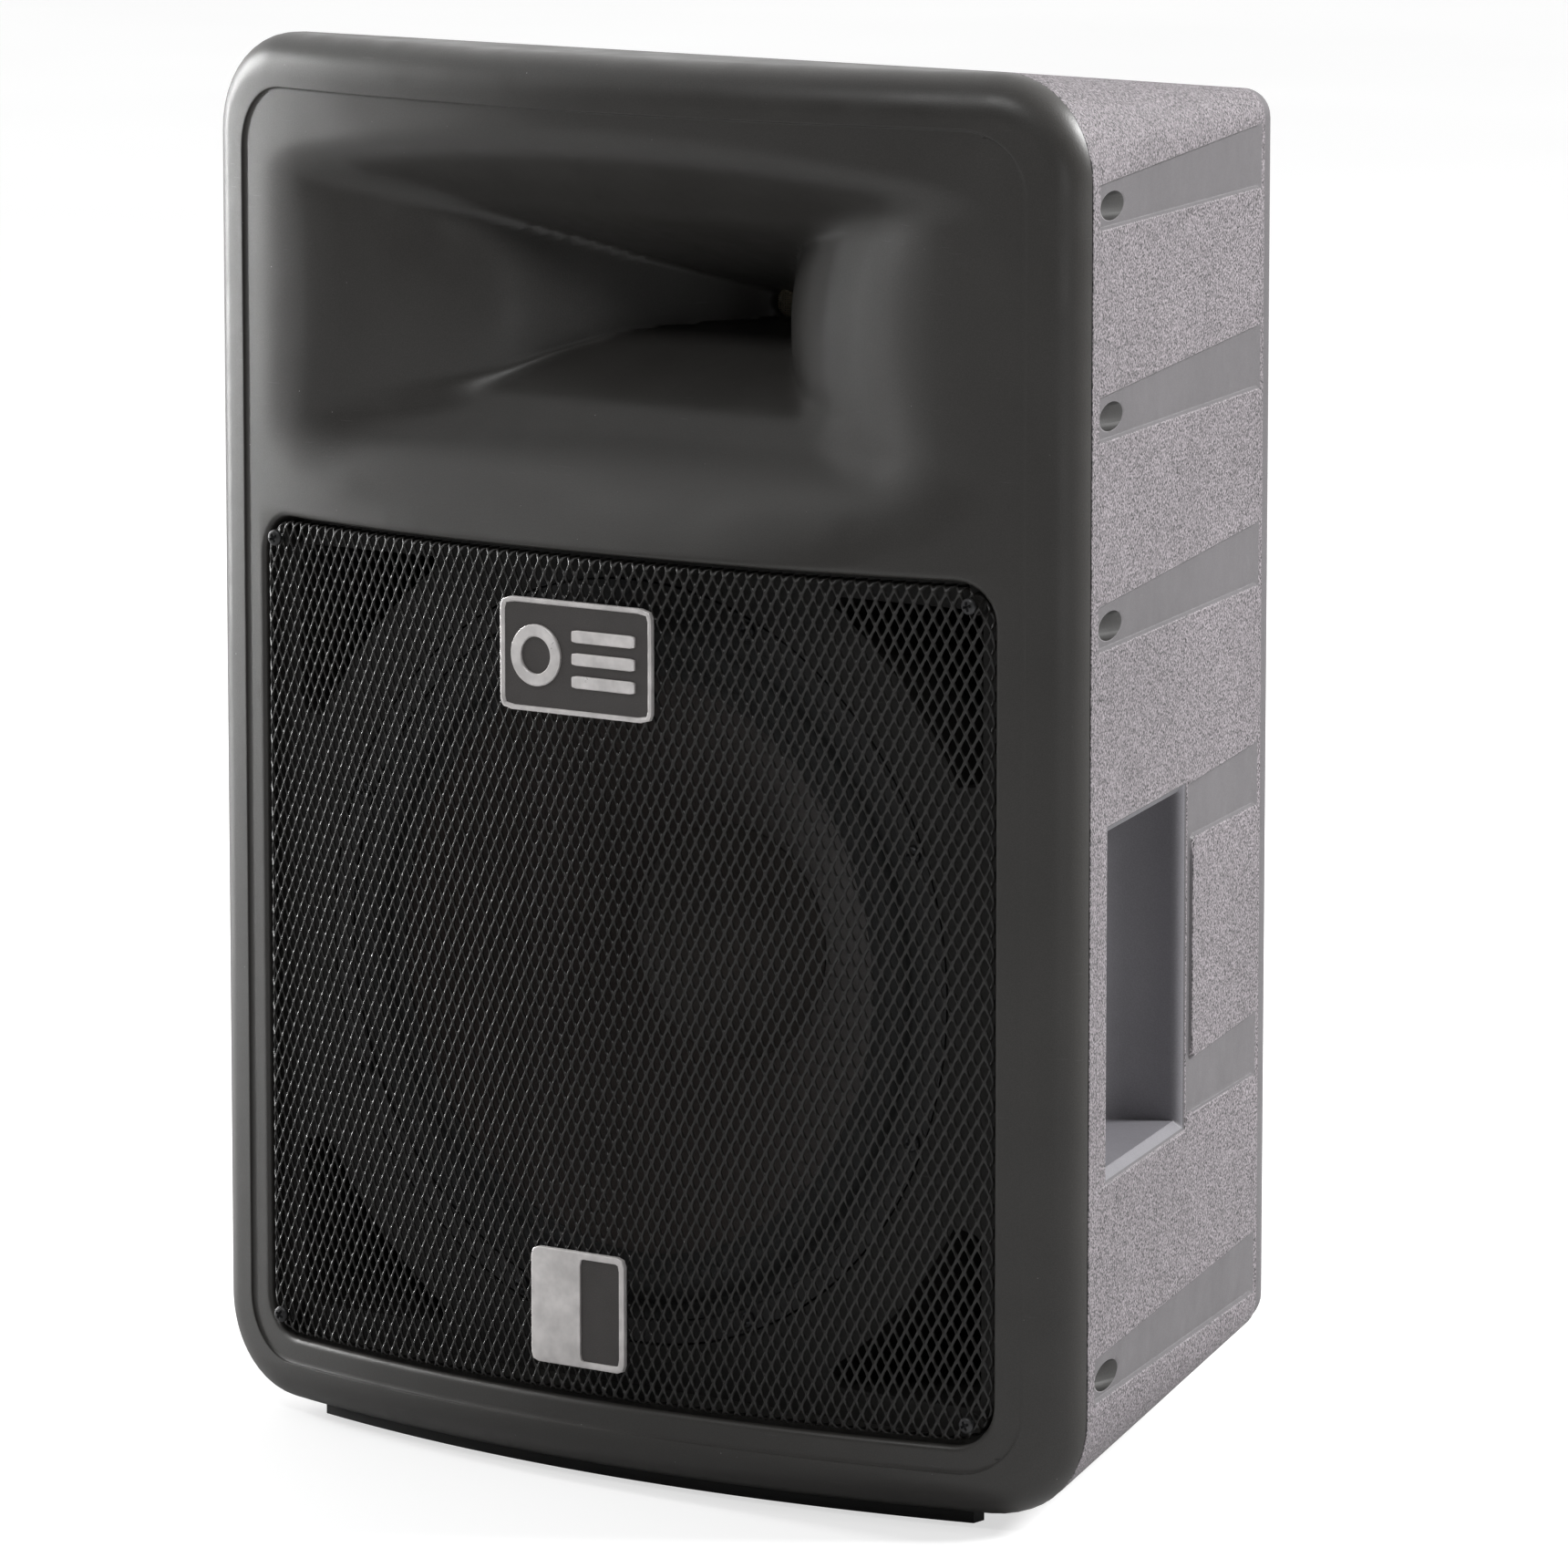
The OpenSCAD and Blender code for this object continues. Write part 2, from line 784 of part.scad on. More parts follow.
// dome and the short cylinder that carries its coil, as two parts that move together
module hf_diaphragm() {
  outer_r = 25.1;
  centre_y = 41 - outer_r;
  color([0.7, 0.7, 0.75]) at_driver() turned_y(horn_z) intersection() {
    difference() {
      translate([0, centre_y]) circle(outer_r);
      translate([0, centre_y]) circle(outer_r - 0.5);
    }
    translate([0, 33]) square([dome_r, 10]);
  }
}

module hf_voice_coil() {
  color([0.7, 0.4, 0.2]) at_driver() tube_y(dome_r, dome_r + 0.7, 24, 33.8, 0, horn_z);
}

module hf_suspension() {
  color([0.7, 0.6, 0.4]) at_driver() tube_y(dome_r + 0.7, 24, 33.4, 33.7, 0, horn_z);
}

module hf_diaphragm_ring() {
  color([0.6, 0.6, 0.62]) at_driver() tube_y(22, 36, 30, 33.4, 0, horn_z);
}

module hf_rear_cover() {
  color([0.1, 0.1, 0.1]) difference() {
    at_driver() turned_y(horn_z) polygon([[43, 30], [48, 30], [48, 58], [0, 58], [0, 54], [43, 54]]);
    at_cover_screws() rod_y(1.3, 0, driver_y + 70);
  }
}

module at_cover_screws() {
  for (i = [0 : 3]) {
    a = 45 + 90 * i;
    translate([45.5 * cos(a), 0, horn_z + 45.5 * sin(a)]) children();
  }
}

module hf_cover_screws() {
  color([0.5, 0.5, 0.52]) at_driver() at_cover_screws() {
    screw_rear(0, 0, 58, 30.5, 1.25, 2.4, 1.8);
  }
}

module hf_bolts() {
  color([0.5, 0.5, 0.52]) at_driver_bolts() {
    screw_front(0, 0, throat_y - 2, driver_y + 8, driver_bolt_r, 5, 4);
  }
}

// ---- crossover ----

module crossover_board() {
  color([0.1, 0.3, 0.15]) difference() {
    box([-board_w / 2, board_y, board_z - board_h / 2], [board_w / 2, board_y + board_t, board_z + board_h / 2]);
    at_board_screws() rod_y(1.8, board_y - 5, board_y + 5);
  }
}

// air-cored coils of copper wire
module inductor_coils() {
  color([0.7, 0.4, 0.2]) {
    tube_y(9, 24, board_y - 20, board_y, -45, board_z + 24);
    tube_y(7, 17, board_y - 16, board_y, -48, board_z - 30);
  }
}

module capacitors() {
  color([0.75, 0.7, 0.2]) for (i = [-1 : 1]) {
    translate([-14, board_y - 9, board_z + 24 * i]) rotate([0, 90, 0]) cylinder(r = 9, h = 38);
  }
}

module resistors() {
  color([0.85, 0.83, 0.78]) for (x = [40, 56]) {
    box([x, board_y - 9, board_z - 25], [x + 10, board_y, board_z + 23]);
  }
}

module crossover_screws() {
  color([0.5, 0.5, 0.52]) at_board_screws() {
    screw_front(0, 0, board_y, board_y + 13, 1.5, 3, 2.2);
  }
}

// ---- input plate ----

module input_plate() {
  color([0.12, 0.12, 0.12]) difference() {
    plate_y(input_w, input_h, 2, input_y, input_y + input_t, input_z);
    at_input_screws() rod_y(1.7, input_y - 5, input_y + 5);
    at_twist_screws() rod_y(1.5, input_y - 5, input_y + 5);
    for (s = [-1, 1]) {
      rod_y(12, input_y - 5, input_y + 5, s * socket_x, twist_z);
      rod_y(4.8, input_y - 5, input_y + 5, s * socket_x, jack_z);
    }
  }
}

// twist-lock loudspeaker sockets
module twist_sockets() {
  face = input_y + input_t;
  color([0.1, 0.1, 0.25]) for (s = [-1, 1]) {
    difference() {
      union() {
        rod_y(11.8, face - 25, face + 1, s * socket_x, twist_z);
        box([s * socket_x - 15, face, twist_z - 15], [s * socket_x + 15, face + 1.5, twist_z + 15]);
      }
      tube_y(5.5, 9, face - 21, face + 5, s * socket_x, twist_z);
      for (t = [-1, 1]) {
        rod_y(1.5, face - 1, face + 5, s * socket_x + t * 12, twist_z + t * 12);
      }
    }
  }
}

module socket_screws() {
  face = input_y + input_t + 1.5;
  color([0.5, 0.5, 0.52]) at_twist_screws() {
    screw_rear(0, 0, face, face - 8, 1.45, 2.6, 1.6);
  }
}

module jack_sockets() {
  face = input_y + input_t;
  color([0.2, 0.2, 0.2]) for (s = [-1, 1]) {
    difference() {
      union() {
        rod_y(8, input_y - 22, input_y, s * socket_x, jack_z);
        rod_y(4.7, input_y - 1, face + 3.5, s * socket_x, jack_z);
      }
      rod_y(jack_bore_r, input_y - 18, face + 5, s * socket_x, jack_z);
    }
  }
}

module jack_nuts() {
  face = input_y + input_t;
  color([0.6, 0.6, 0.62]) for (s = [-1, 1]) {
    difference() {
      slab_y(face, face + 2.4, jack_z) translate([s * socket_x, 0]) circle(7.5, $fn = 6);
      rod_y(4.75, face - 1, face + 5, s * socket_x, jack_z);
    }
  }
}

module input_plate_screws() {
  face = input_y + input_t;
  color([0.5, 0.5, 0.52]) at_input_screws() {
    screw_rear(0, 0, face, face - 12, 1.5, 3, 2);
  }
}

// ---- wiring and lining ----

module woofer_cable() {
  color([0.6, 0.1, 0.1]) for (s = [-1, 1]) {
    wire([[-66 + s * 3, board_y - 1, 418], [-66 + s * 3, 240, 405], [s * 8, 150, 372],
      [s * 8, 107, woofer_z + 105.5]], 1.6);
  }
}

module horn_cable() {
  color([0.15, 0.15, 0.5]) for (s = [-1, 1]) {
    wire([[70, board_y - 1, 500 + s * 4], [76, 250, 520 + s * 4], [76, 160, horn_z + s * 4],
      [49.6, 160, horn_z + s * 4]], 1.4);
  }
}

module input_cable() {
  back_y = input_y - 24;
  color([0.12, 0.12, 0.12]) for (s = [-1, 1]) {
    wire([[-socket_x + s * 4, back_y, jack_z], [-socket_x + s * 4, back_y - 12, 170],
      [-78 + s * 3, back_y - 20, 220], [-78 + s * 3, back_y - 20, 418], [-78 + s * 3, board_y - 1, 428]], 1.4);
  }
}

// fibre wadding on the back and on both upper sides
module damping_batts() {
  color([0.85, 0.82, 0.7]) {
    box([-66, rear_len - 27, 200], [110, rear_len - wall, 395]);
    for (s = [-1, 1]) {
      on_side(s) box([-28, 180, 360], [-wall - 0.5, 285, 620]);
    }
  }
}

// ---- pole socket and feet ----

module pole_socket() {
  top = pole_flange_z + pole_depth + 3;
  color([0.08, 0.08, 0.08]) difference() {
    translate([0, pole_y, pole_flange_z]) {
      cylinder(r = 35, h = pole_flange_t);
      cylinder(r = pole_bore_r + 4.3, h = top - pole_flange_z);
    }
    translate([0, pole_y, pole_flange_z - 1]) cylinder(r = pole_bore_r, h = pole_depth + 1);
    at_pole_screws() cylinder(r = 2.2, h = 20);
  }
}

module pole_socket_screws() {
  color([0.5, 0.5, 0.52]) at_pole_screws() {
    translate([0, 0, pole_flange_z - 2.4]) cylinder(r = 3.8, h = 2.4);
    translate([0, 0, pole_flange_z]) cylinder(r = 2, h = 13);
  }
}

// rubber strip under the front shell, shaped to the bow
module front_foot() {
  color([0.04, 0.04, 0.04]) difference() {
    intersection() {
      translate([0, bow_y, 0]) cylinder(r = bow_r - roll_r - 3, h = low_z, $fn = bow_fn);
      box([-200, -60, 0], [200, 3, low_z]);
    }
    at_foot_screws() foot_hole();
  }
}

module foot_hole() {
  translate([0, 0, -1]) cylinder(r = 4, h = 4);
  cylinder(r = 2, h = low_z + 1);
}

module rear_feet() {
  color([0.04, 0.04, 0.04]) difference() {
    for (s = [-1, 1]) {
      translate([s * leg_x, leg_y, 0]) cylinder(r = leg_r - 1.5, h = low_z);
    }
    at_foot_screws() foot_hole();
  }
}

module foot_screws() {
  color([0.5, 0.5, 0.52]) at_foot_screws() {
    translate([0, 0, 1]) cylinder(r = 3.6, h = 2);
    translate([0, 0, 3]) cylinder(r = 1.95, h = low_z + 7);
  }
}

front_shell();
rear_shell();
shell_gasket();
shell_screws();
grille();
grille_screws();
name_badge();
name_emblem();
model_badge();
badge_nuts();
woofer_frame();
woofer_gasket();
woofer_surround();
woofer_cone();
woofer_dust_cap();
woofer_voice_coil();
woofer_spider();
woofer_top_plate();
woofer_magnet();
woofer_back_plate();
woofer_terminals();
woofer_leads();
woofer_screws();
throat_screen();
hf_gasket();
hf_front_plate();
hf_magnet();
hf_top_plate();
hf_phase_plug();
hf_diaphragm();
hf_voice_coil();
hf_suspension();
hf_diaphragm_ring();
hf_rear_cover();
hf_cover_screws();
hf_bolts();
crossover_board();
inductor_coils();
capacitors();
resistors();
crossover_screws();
input_plate();
twist_sockets();
socket_screws();
jack_sockets();
jack_nuts();
input_plate_screws();
woofer_cable();
horn_cable();
input_cable();
damping_batts();
pole_socket();
pole_socket_screws();
front_foot();
rear_feet();
foot_screws();
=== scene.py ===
"""Looks of the PA speaker cabinet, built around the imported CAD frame. Metres, +Z up, the front faces -Y."""

import json
import math
import random
from contextlib import contextmanager

import bmesh
import bpy
import numpy as np
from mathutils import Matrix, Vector
from mathutils.geometry import delaunay_2d_cdt


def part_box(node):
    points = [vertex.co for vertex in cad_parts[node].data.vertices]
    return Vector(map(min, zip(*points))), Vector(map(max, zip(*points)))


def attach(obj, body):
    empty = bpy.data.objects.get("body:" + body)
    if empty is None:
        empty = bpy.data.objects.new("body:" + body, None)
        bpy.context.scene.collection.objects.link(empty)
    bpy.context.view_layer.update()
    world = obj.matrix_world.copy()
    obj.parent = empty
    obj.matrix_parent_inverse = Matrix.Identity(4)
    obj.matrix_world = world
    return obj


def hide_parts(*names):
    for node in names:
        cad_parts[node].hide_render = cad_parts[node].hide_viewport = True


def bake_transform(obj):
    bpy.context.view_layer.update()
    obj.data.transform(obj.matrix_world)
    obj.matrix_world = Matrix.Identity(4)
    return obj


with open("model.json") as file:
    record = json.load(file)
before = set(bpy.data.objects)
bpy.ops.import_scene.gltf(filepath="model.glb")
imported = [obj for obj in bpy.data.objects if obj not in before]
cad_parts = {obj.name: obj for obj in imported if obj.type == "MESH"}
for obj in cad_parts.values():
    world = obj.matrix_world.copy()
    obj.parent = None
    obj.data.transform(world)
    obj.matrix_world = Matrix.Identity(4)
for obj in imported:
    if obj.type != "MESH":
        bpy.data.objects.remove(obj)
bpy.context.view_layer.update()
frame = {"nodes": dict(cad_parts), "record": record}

MM = 0.001
rng = random.Random(7)


# ---- sizes, in millimetres, read from the frame where a node states them ----


def node_box(node):
    low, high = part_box(node)
    return [v / MM for v in low], [v / MM for v in high]


shell_low, shell_high = node_box("front_shell")
HALF_W = round(max(shell_high[0], -shell_low[0]))
FLOOR_Z = shell_low[2]
TOP_Z = shell_high[2]
FRONT_Y = shell_low[1]
REAR_Y = node_box("rear_shell")[1][1]

# the bow of the front, the rolled edge round it, and the joint between the shells at y = 0
BOW_R = 820.0
BOW_Y = FRONT_Y + BOW_R
ROLL_R = 20.0
CORNER_R = 50.0
SEAM_GAP = 0.45

grille_low, grille_high = node_box("grille")
GRILLE_GAP = 2.0
RECESS_X = grille_high[0] + GRILLE_GAP
RECESS_Z0 = grille_low[2] - GRILLE_GAP
RECESS_Z1 = grille_high[2] + GRILLE_GAP
RECESS_R = 20.0
EDGE_R = 3.0

frame_low, frame_high = node_box("woofer_frame")
WOOFER_Z = (frame_low[2] + frame_high[2]) / 2
FRAME_R = (frame_high[2] - frame_low[2]) / 2
BAFFLE_Y = frame_low[1]
SEAT_Y = node_box("woofer_gasket")[1][1]
CUTOUT_R = 176.0

screen_low, screen_high = node_box("throat_screen")
HORN_Z = (screen_low[2] + screen_high[2]) / 2
THROAT_R = (screen_high[2] - screen_low[2]) / 2 - 2
THROAT_Y = screen_low[1] - 2

# the shallow step that runs round the front: half width, heights and corner
STEP = (HALF_W - 24.4, FLOOR_Z + 21.5, TOP_Z - 25, 32.0)
STEP_DEPTH = 1.3

# how the rear shell narrows per millimetre of depth: sides, top and bottom, corner radius
SIDE_SLOPE = 0.354
DRAFT = 0.1
CORNER_CHANGE = 0.12
REAR_ROLL = 22.0


# ---- mesh helpers ----


@contextmanager
def editing(mesh):
    """The mesh as a BMesh, written back at the end."""
    bm = bmesh.new()
    bm.from_mesh(mesh)
    yield bm
    bm.to_mesh(mesh)
    bm.free()


def new_object(name, data):
    obj = bpy.data.objects.new(name, data)
    bpy.context.scene.collection.objects.link(obj)
    return obj


def mesh_object(name, verts, faces, *materials, merge=0.0):
    """An object from millimetre points, with faces given as index rows."""
    mesh = bpy.data.meshes.new(name)
    mesh.from_pydata([tuple(c * MM for c in v) for v in verts], [], [tuple(f) for f in faces])
    if merge:
        with editing(mesh) as bm:
            bmesh.ops.remove_doubles(bm, verts=bm.verts, dist=merge * MM)
            bmesh.ops.dissolve_degenerate(bm, edges=bm.edges, dist=1e-7)
    mesh.validate()
    mesh.shade_smooth()
    for material in materials:
        mesh.materials.append(material)
    return new_object(name, mesh)


def weld(obj, distance):
    with editing(obj.data) as bm:
        bmesh.ops.remove_doubles(bm, verts=bm.verts, dist=distance * MM)


def outward(obj):
    """Turns all faces of a closed mesh outwards."""
    with editing(obj.data) as bm:
        bmesh.ops.recalc_face_normals(bm, faces=bm.faces)


def sharpen(obj, degrees):
    """Smooth shading except over edges sharper than the angle."""
    obj.data.shade_smooth()
    obj.data.set_sharp_from_angle(angle=math.radians(degrees))


def grid_faces(rows, columns, start=0, wrap=False, flip=False):
    """Quads of a grid of points laid out row by row."""
    out = []
    for i in range(rows - 1):
        for j in range(columns if wrap else columns - 1):
            a = start + i * columns + j
            b = start + i * columns + (j + 1) % columns
            quad = (a, b, b + columns, a + columns)
            out.append(quad[::-1] if flip else quad)
    return out


class Builder:
    """Collects points and faces of one mesh, with a material slot for each face."""

    def __init__(self):
        self.verts = []
        self.faces = []
        self.slots = []

    def grid(self, points, wrap=False, flip=False, slots=None):
        """Adds a grid given as an array of rows x columns x 3."""
        points = np.asarray(points, float)
        rows, columns = points.shape[:2]
        start = len(self.verts)
        self.verts += [tuple(p) for p in points.reshape(-1, 3)]
        new = grid_faces(rows, columns, start, wrap, flip)
        self.faces += new
        self.slots += list(slots) if slots is not None else [0] * len(new)

    def polygon(self, loop, flip=False, slot=0):
        start = len(self.verts)
        self.verts += [tuple(p) for p in loop]
        face = list(range(start, start + len(loop)))
        self.faces.append(face[::-1] if flip else face)
        self.slots.append(slot)

    def build(self, name, *materials, merge=0.0):
        obj = mesh_object(name, self.verts, self.faces, *materials, merge=merge)
        if len(materials) > 1:
            obj.data.polygons.foreach_set("material_index", self.slots)
        return obj


def islands(node):
    """The separate solids of a CAD node, as arrays of points in millimetres."""
    bm = bmesh.new()
    bm.from_mesh(frame["nodes"][node].data)
    bmesh.ops.remove_doubles(bm, verts=bm.verts, dist=1e-5)
    seen, out = set(), []
    for first in bm.verts:
        if first in seen:
            continue
        seen.add(first)
        stack, found = [first], []
        while stack:
            v = stack.pop()
            found.append(tuple(c / MM for c in v.co))
            for e in v.link_edges:
                w = e.other_vert(v)
                if w not in seen:
                    seen.add(w)
                    stack.append(w)
        out.append(np.array(found))
    bm.free()
    return out


def smoothstep(low, high, value):
    t = np.clip((value - low) / (high - low), 0, 1)
    return t * t * (3 - 2 * t)


def soft_min(a, b, k):
    """The lower of two heights, with the crease rounded over about k."""
    h = np.clip(0.5 + 0.5 * (b - a) / k, 0, 1)
    return b * (1 - h) + a * h - k * h * (1 - h)


def soft_max(a, b, k):
    return -soft_min(-a, -b, k)


def spread(knots, spacing):
    """Sorted positions through the knots, no further apart than the spacing that each span asks for."""
    out = [knots[0]]
    for low, high, step in zip(knots[:-1], knots[1:], spacing):
        n = max(1, math.ceil((high - low) / step))
        out += [low + (high - low) * (i + 1) / n for i in range(n)]
    return np.array(out)


def rounded_ring(half_x, z0, z1, r, across, up, inset=0.0):
    """Points and outward normals round a rounded rectangle, drawn in by inset, seen from the front.

    across and up are the fractions used along the horizontal and the vertical sides. Each side runs from
    the middle of one corner to the middle of the next, so loops of different corner radius match point by
    point."""
    half_x, z0, z1, r = half_x - inset, z0 + inset, z1 - inset, r - inset
    quarter = math.pi * r / 4

    def side(fractions, length):
        """Distance along one side as (place on the straight, turn before or after it)."""
        total = length + 2 * quarter
        s = np.asarray(fractions) * total
        before = np.clip(quarter - s, 0, None)
        after = np.clip(s - quarter - length, 0, None)
        along = np.clip(s - quarter, 0, length)
        turn = (after - before) / max(r, 1e-9)
        return along, turn

    width, height = 2 * (half_x - r), z1 - z0 - 2 * r
    along_x, turn_x = side(across, width)
    along_z, turn_z = side(up, height)
    sides = [
        (-half_x + r + along_x, np.full_like(along_x, z0 + r), -math.pi / 2 + turn_x),
        (np.full_like(along_z, half_x - r), z0 + r + along_z, turn_z),
        (half_x - r - along_x, np.full_like(along_x, z1 - r), math.pi / 2 + turn_x),
        (np.full_like(along_z, -half_x + r), z1 - r - along_z, math.pi + turn_z),
    ]
    points, normals = [], []
    for cx, cz, angle in sides:
        n = np.stack([np.cos(angle), np.sin(angle)], 1)
        p = np.stack([cx, cz], 1) + n * r
        points.append(p[:-1])
        normals.append(n[:-1])
    return np.vstack(points), np.vstack(normals)


def rounded_loop(half_x, z0, z1, r, across, up, inset=0.0):
    return rounded_ring(half_x, z0, z1, r, across, up, inset)[0]


def with_y(points, y):
    """Adds the y column to an array of (x, z). y is one depth or one for each point."""
    return np.stack([points[:, 0], np.broadcast_to(y, len(points)), points[:, 1]], 1)


def bow(x, inset=0.0):
    """Depth of the bowed front, or of a surface inset behind it."""
    return BOW_Y - np.sqrt((BOW_R - inset) ** 2 - x**2)


SLOT_OF = {row["node"]: row["material_slot"] for row in frame["record"]["subparts"]}


def stand_for(node, slot=None):
    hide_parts(node)
    slot or SLOT_OF[node]


def place(obj, node, slot=None):
    """Lets a new piece that rides on the cabinet stand for a CAD node."""
    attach(obj, "cabinet")
    stand_for(node, slot)


# ---- procedural materials ----


class Shader:
    """A small wrapper that builds one material's node tree."""

    def __init__(self, name):
        self.material = bpy.data.materials.new(name)
        self.material.use_nodes = True
        self.nodes = self.material.node_tree.nodes
        self.links = self.material.node_tree.links
        self.base = self.nodes["Principled BSDF"]
        self.position = self.nodes.new("ShaderNodeTexCoord").outputs["Object"]

    def put(self, source, target):
        self.links.new(source, target)

    def node(self, kind, **inputs):
        n = self.nodes.new(kind)
        for key, value in inputs.items():
            self.feed(n.inputs[key.replace("_", " ")], value)
        return n

    def feed(self, socket, value):
        if isinstance(value, bpy.types.NodeSocket):
            self.put(value, socket)
        else:
            socket.default_value = value

    def stretched(self, scale):
        m = self.node("ShaderNodeMapping", Vector=self.position)
        m.inputs["Scale"].default_value = scale
        return m.outputs[0]

    def noise(self, size, detail=3.0, rough=0.6, vector=None):
        """Noise whose features are about size millimetres."""
        space = vector or self.position
        n = self.node("ShaderNodeTexNoise", Vector=space, Scale=1000.0 / size, Detail=detail, Roughness=rough)
        return n.outputs["Fac"]

    def cells(self, size, feature="F1", randomness=1.0, vector=None):
        n = self.node("ShaderNodeTexVoronoi", Vector=vector or self.position, Scale=1000.0 / size)
        n.feature = feature
        n.inputs["Randomness"].default_value = randomness
        return n.outputs["Distance"]

    def ramp(self, value, low, high, a=0.0, b=1.0):
        n = self.node("ShaderNodeMapRange", Value=value)
        for key, v in (("From Min", low), ("From Max", high), ("To Min", a), ("To Max", b)):
            n.inputs[key].default_value = v
        return n.outputs[0]

    def math(self, operation, a, b=0.0):
        n = self.nodes.new("ShaderNodeMath")
        n.operation = operation
        self.feed(n.inputs[0], a)
        self.feed(n.inputs[1], b)
        return n.outputs[0]

    def blend(self, factor, a, b):
        n = self.nodes.new("ShaderNodeMix")
        n.data_type = "RGBA"
        self.feed(n.inputs["Factor"], factor)
        self.feed(n.inputs[6], a)
        self.feed(n.inputs[7], b)
        return n.outputs[2]

    def scaled(self, tone, level):
        """A colour multiplied by a value."""
        n = self.nodes.new("ShaderNodeVectorMath")
        n.operation = "SCALE"
        n.inputs[0].default_value = tone[:3]
        self.put(level, n.inputs["Scale"])
        return n.outputs[0]

    def bump(self, height, depth, strength=1.0, normal=None):
        """A bump whose full height is depth millimetres."""
        n = self.node("ShaderNodeBump", Height=height, Strength=strength, Distance=depth * MM)
        if normal:
            self.put(normal, n.inputs["Normal"])
        return n.outputs[0]

    def rounded(self, radius):
        n = self.nodes.new("ShaderNodeBevel")
        n.samples = 4
        n.inputs["Radius"].default_value = radius * MM
        return n.outputs[0]

    def finish(self, color=None, roughness=None, normal=None, metallic=None, **others):
        given = {"Base Color": color, "Roughness": roughness, "Normal": normal, "Metallic": metallic}
        given.update({key.replace("_", " "): value for key, value in others.items()})
        for key, value in given.items():
            if value is not None:
                self.feed(self.base.inputs[key], value)
        return self.material


def rgb(r, g, b):
    return (r, g, b, 1.0)


# dust, scuffs, and the pale tone that paints highlights along rounded edges
DUST_TONE, SCUFF_TONE, EDGE_HIGHLIGHT_TONE = rgb(0.42, 0.42, 0.41), rgb(0.25, 0.25, 0.25), rgb(0.42, 0.4, 0.41)
SCRATCH_STRETCH = (60.0, 60.0, 900.0)


def moulded(name, tone, grain_size, grain_depth, rough, dust=0.0, grain_light_shade=0.0, edge=0.0, edge_highlight=0.0):
    """Moulded plastic: a leather-like grain with painted light and shade on it, cloudy variation, dust specks,
    scuffs and painted highlights on rounded edges.
    """
    s = Shader(name)
    cloud = s.ramp(s.noise(90, 2), 0.3, 0.7, 0.92, 1.08)
    grain = s.noise(grain_size, 2, 0.5)
    pits = s.cells(grain_size * 1.6)
    height = s.math("ADD", s.math("MULTIPLY", grain, 0.6), s.math("MULTIPLY", pits, 0.6))
    # painted light and shade on the grain: its raised parts lighter, its low parts darker
    shade = s.ramp(grain, 0.38, 0.62, 1.0 - grain_light_shade, 1.0 + grain_light_shade)
    tinted = s.scaled(tone, s.math("MULTIPLY", cloud, shade))
    if dust:
        specks = s.ramp(s.cells(9.0), 0.035, 0.02)
        mask = s.math("MULTIPLY", specks, s.ramp(s.noise(140, 2), 0.48, 0.62))
        tinted = s.blend(s.math("MULTIPLY", mask, dust), tinted, DUST_TONE)
    scratch = s.ramp(s.noise(1000, 2, 0.5, s.stretched(SCRATCH_STRETCH)), 0.68, 0.74)
    scuffs = s.math("MULTIPLY", scratch, s.ramp(s.noise(60, 2), 0.5, 0.7))
    tinted = s.blend(s.math("MULTIPLY", scuffs, 0.12), tinted, SCUFF_TONE)
    rounded = s.rounded(edge) if edge else None
    # painted highlight: the rounded edges take a pale tone, broken into patches
    if edge_highlight:
        flat = s.nodes.new("ShaderNodeNewGeometry").outputs["Normal"]
        bend = s.nodes.new("ShaderNodeVectorMath")
        bend.operation = "DOT_PRODUCT"
        s.put(rounded, bend.inputs[0])
        s.put(flat, bend.inputs[1])
        highlight_patches = s.ramp(s.noise(7, 3), 0.35, 0.6, 0.4, 1.0)
        edge_lit = s.math("MULTIPLY", s.ramp(bend.outputs["Value"], 0.985, 0.9), highlight_patches)
        tinted = s.blend(s.math("MULTIPLY", edge_lit, edge_highlight), tinted, EDGE_HIGHLIGHT_TONE)
    roughness = s.ramp(s.noise(25, 3), 0.3, 0.7, rough - 0.05, rough + 0.06)
    normal = s.bump(height, grain_depth, 1.0, rounded)
    return s.finish(tinted, roughness, normal, Specular_IOR_Level=0.45)


def metal(name, tone, rough, metallic=1.0, grain=0.4, depth=0.02, edge=0.25, stretch=None):
    """Metal or paint: a fine grain, stains in the tone and patches of roughness."""
    s = Shader(name)
    space = s.stretched(stretch) if stretch else None
    fine = s.noise(grain, 3, 0.6, space)
    stain = s.ramp(s.noise(14, 3), 0.35, 0.7, 0.8, 1.08)
    color = s.scaled(tone, stain)
    roughness = s.ramp(s.noise(6, 3), 0.3, 0.7, rough - 0.07, rough + 0.09)
    normal = s.bump(fine, depth, 1.0, s.rounded(edge) if edge else None)
    return s.finish(color, roughness, normal, metallic)


def soft(name, tone, fibre, depth, rough, sheen=0.0, edge=0.0):
    """Paper, cloth, wadding or rubber: fibres and slow colour variation."""
    s = Shader(name)
    threads = s.noise(fibre, 4, 0.7)
    cloud = s.ramp(s.noise(30, 3), 0.3, 0.7, 0.82, 1.15)
    level = s.math("MULTIPLY", cloud, s.ramp(threads, 0.3, 0.7, 0.85, 1.15))
    color = s.scaled(tone, level)
    roughness = s.ramp(threads, 0.3, 0.7, rough - 0.06, rough + 0.06)
    normal = s.bump(threads, depth, 1.0, s.rounded(edge) if edge else None)
    return s.finish(color, roughness, normal, Sheen_Weight=sheen)


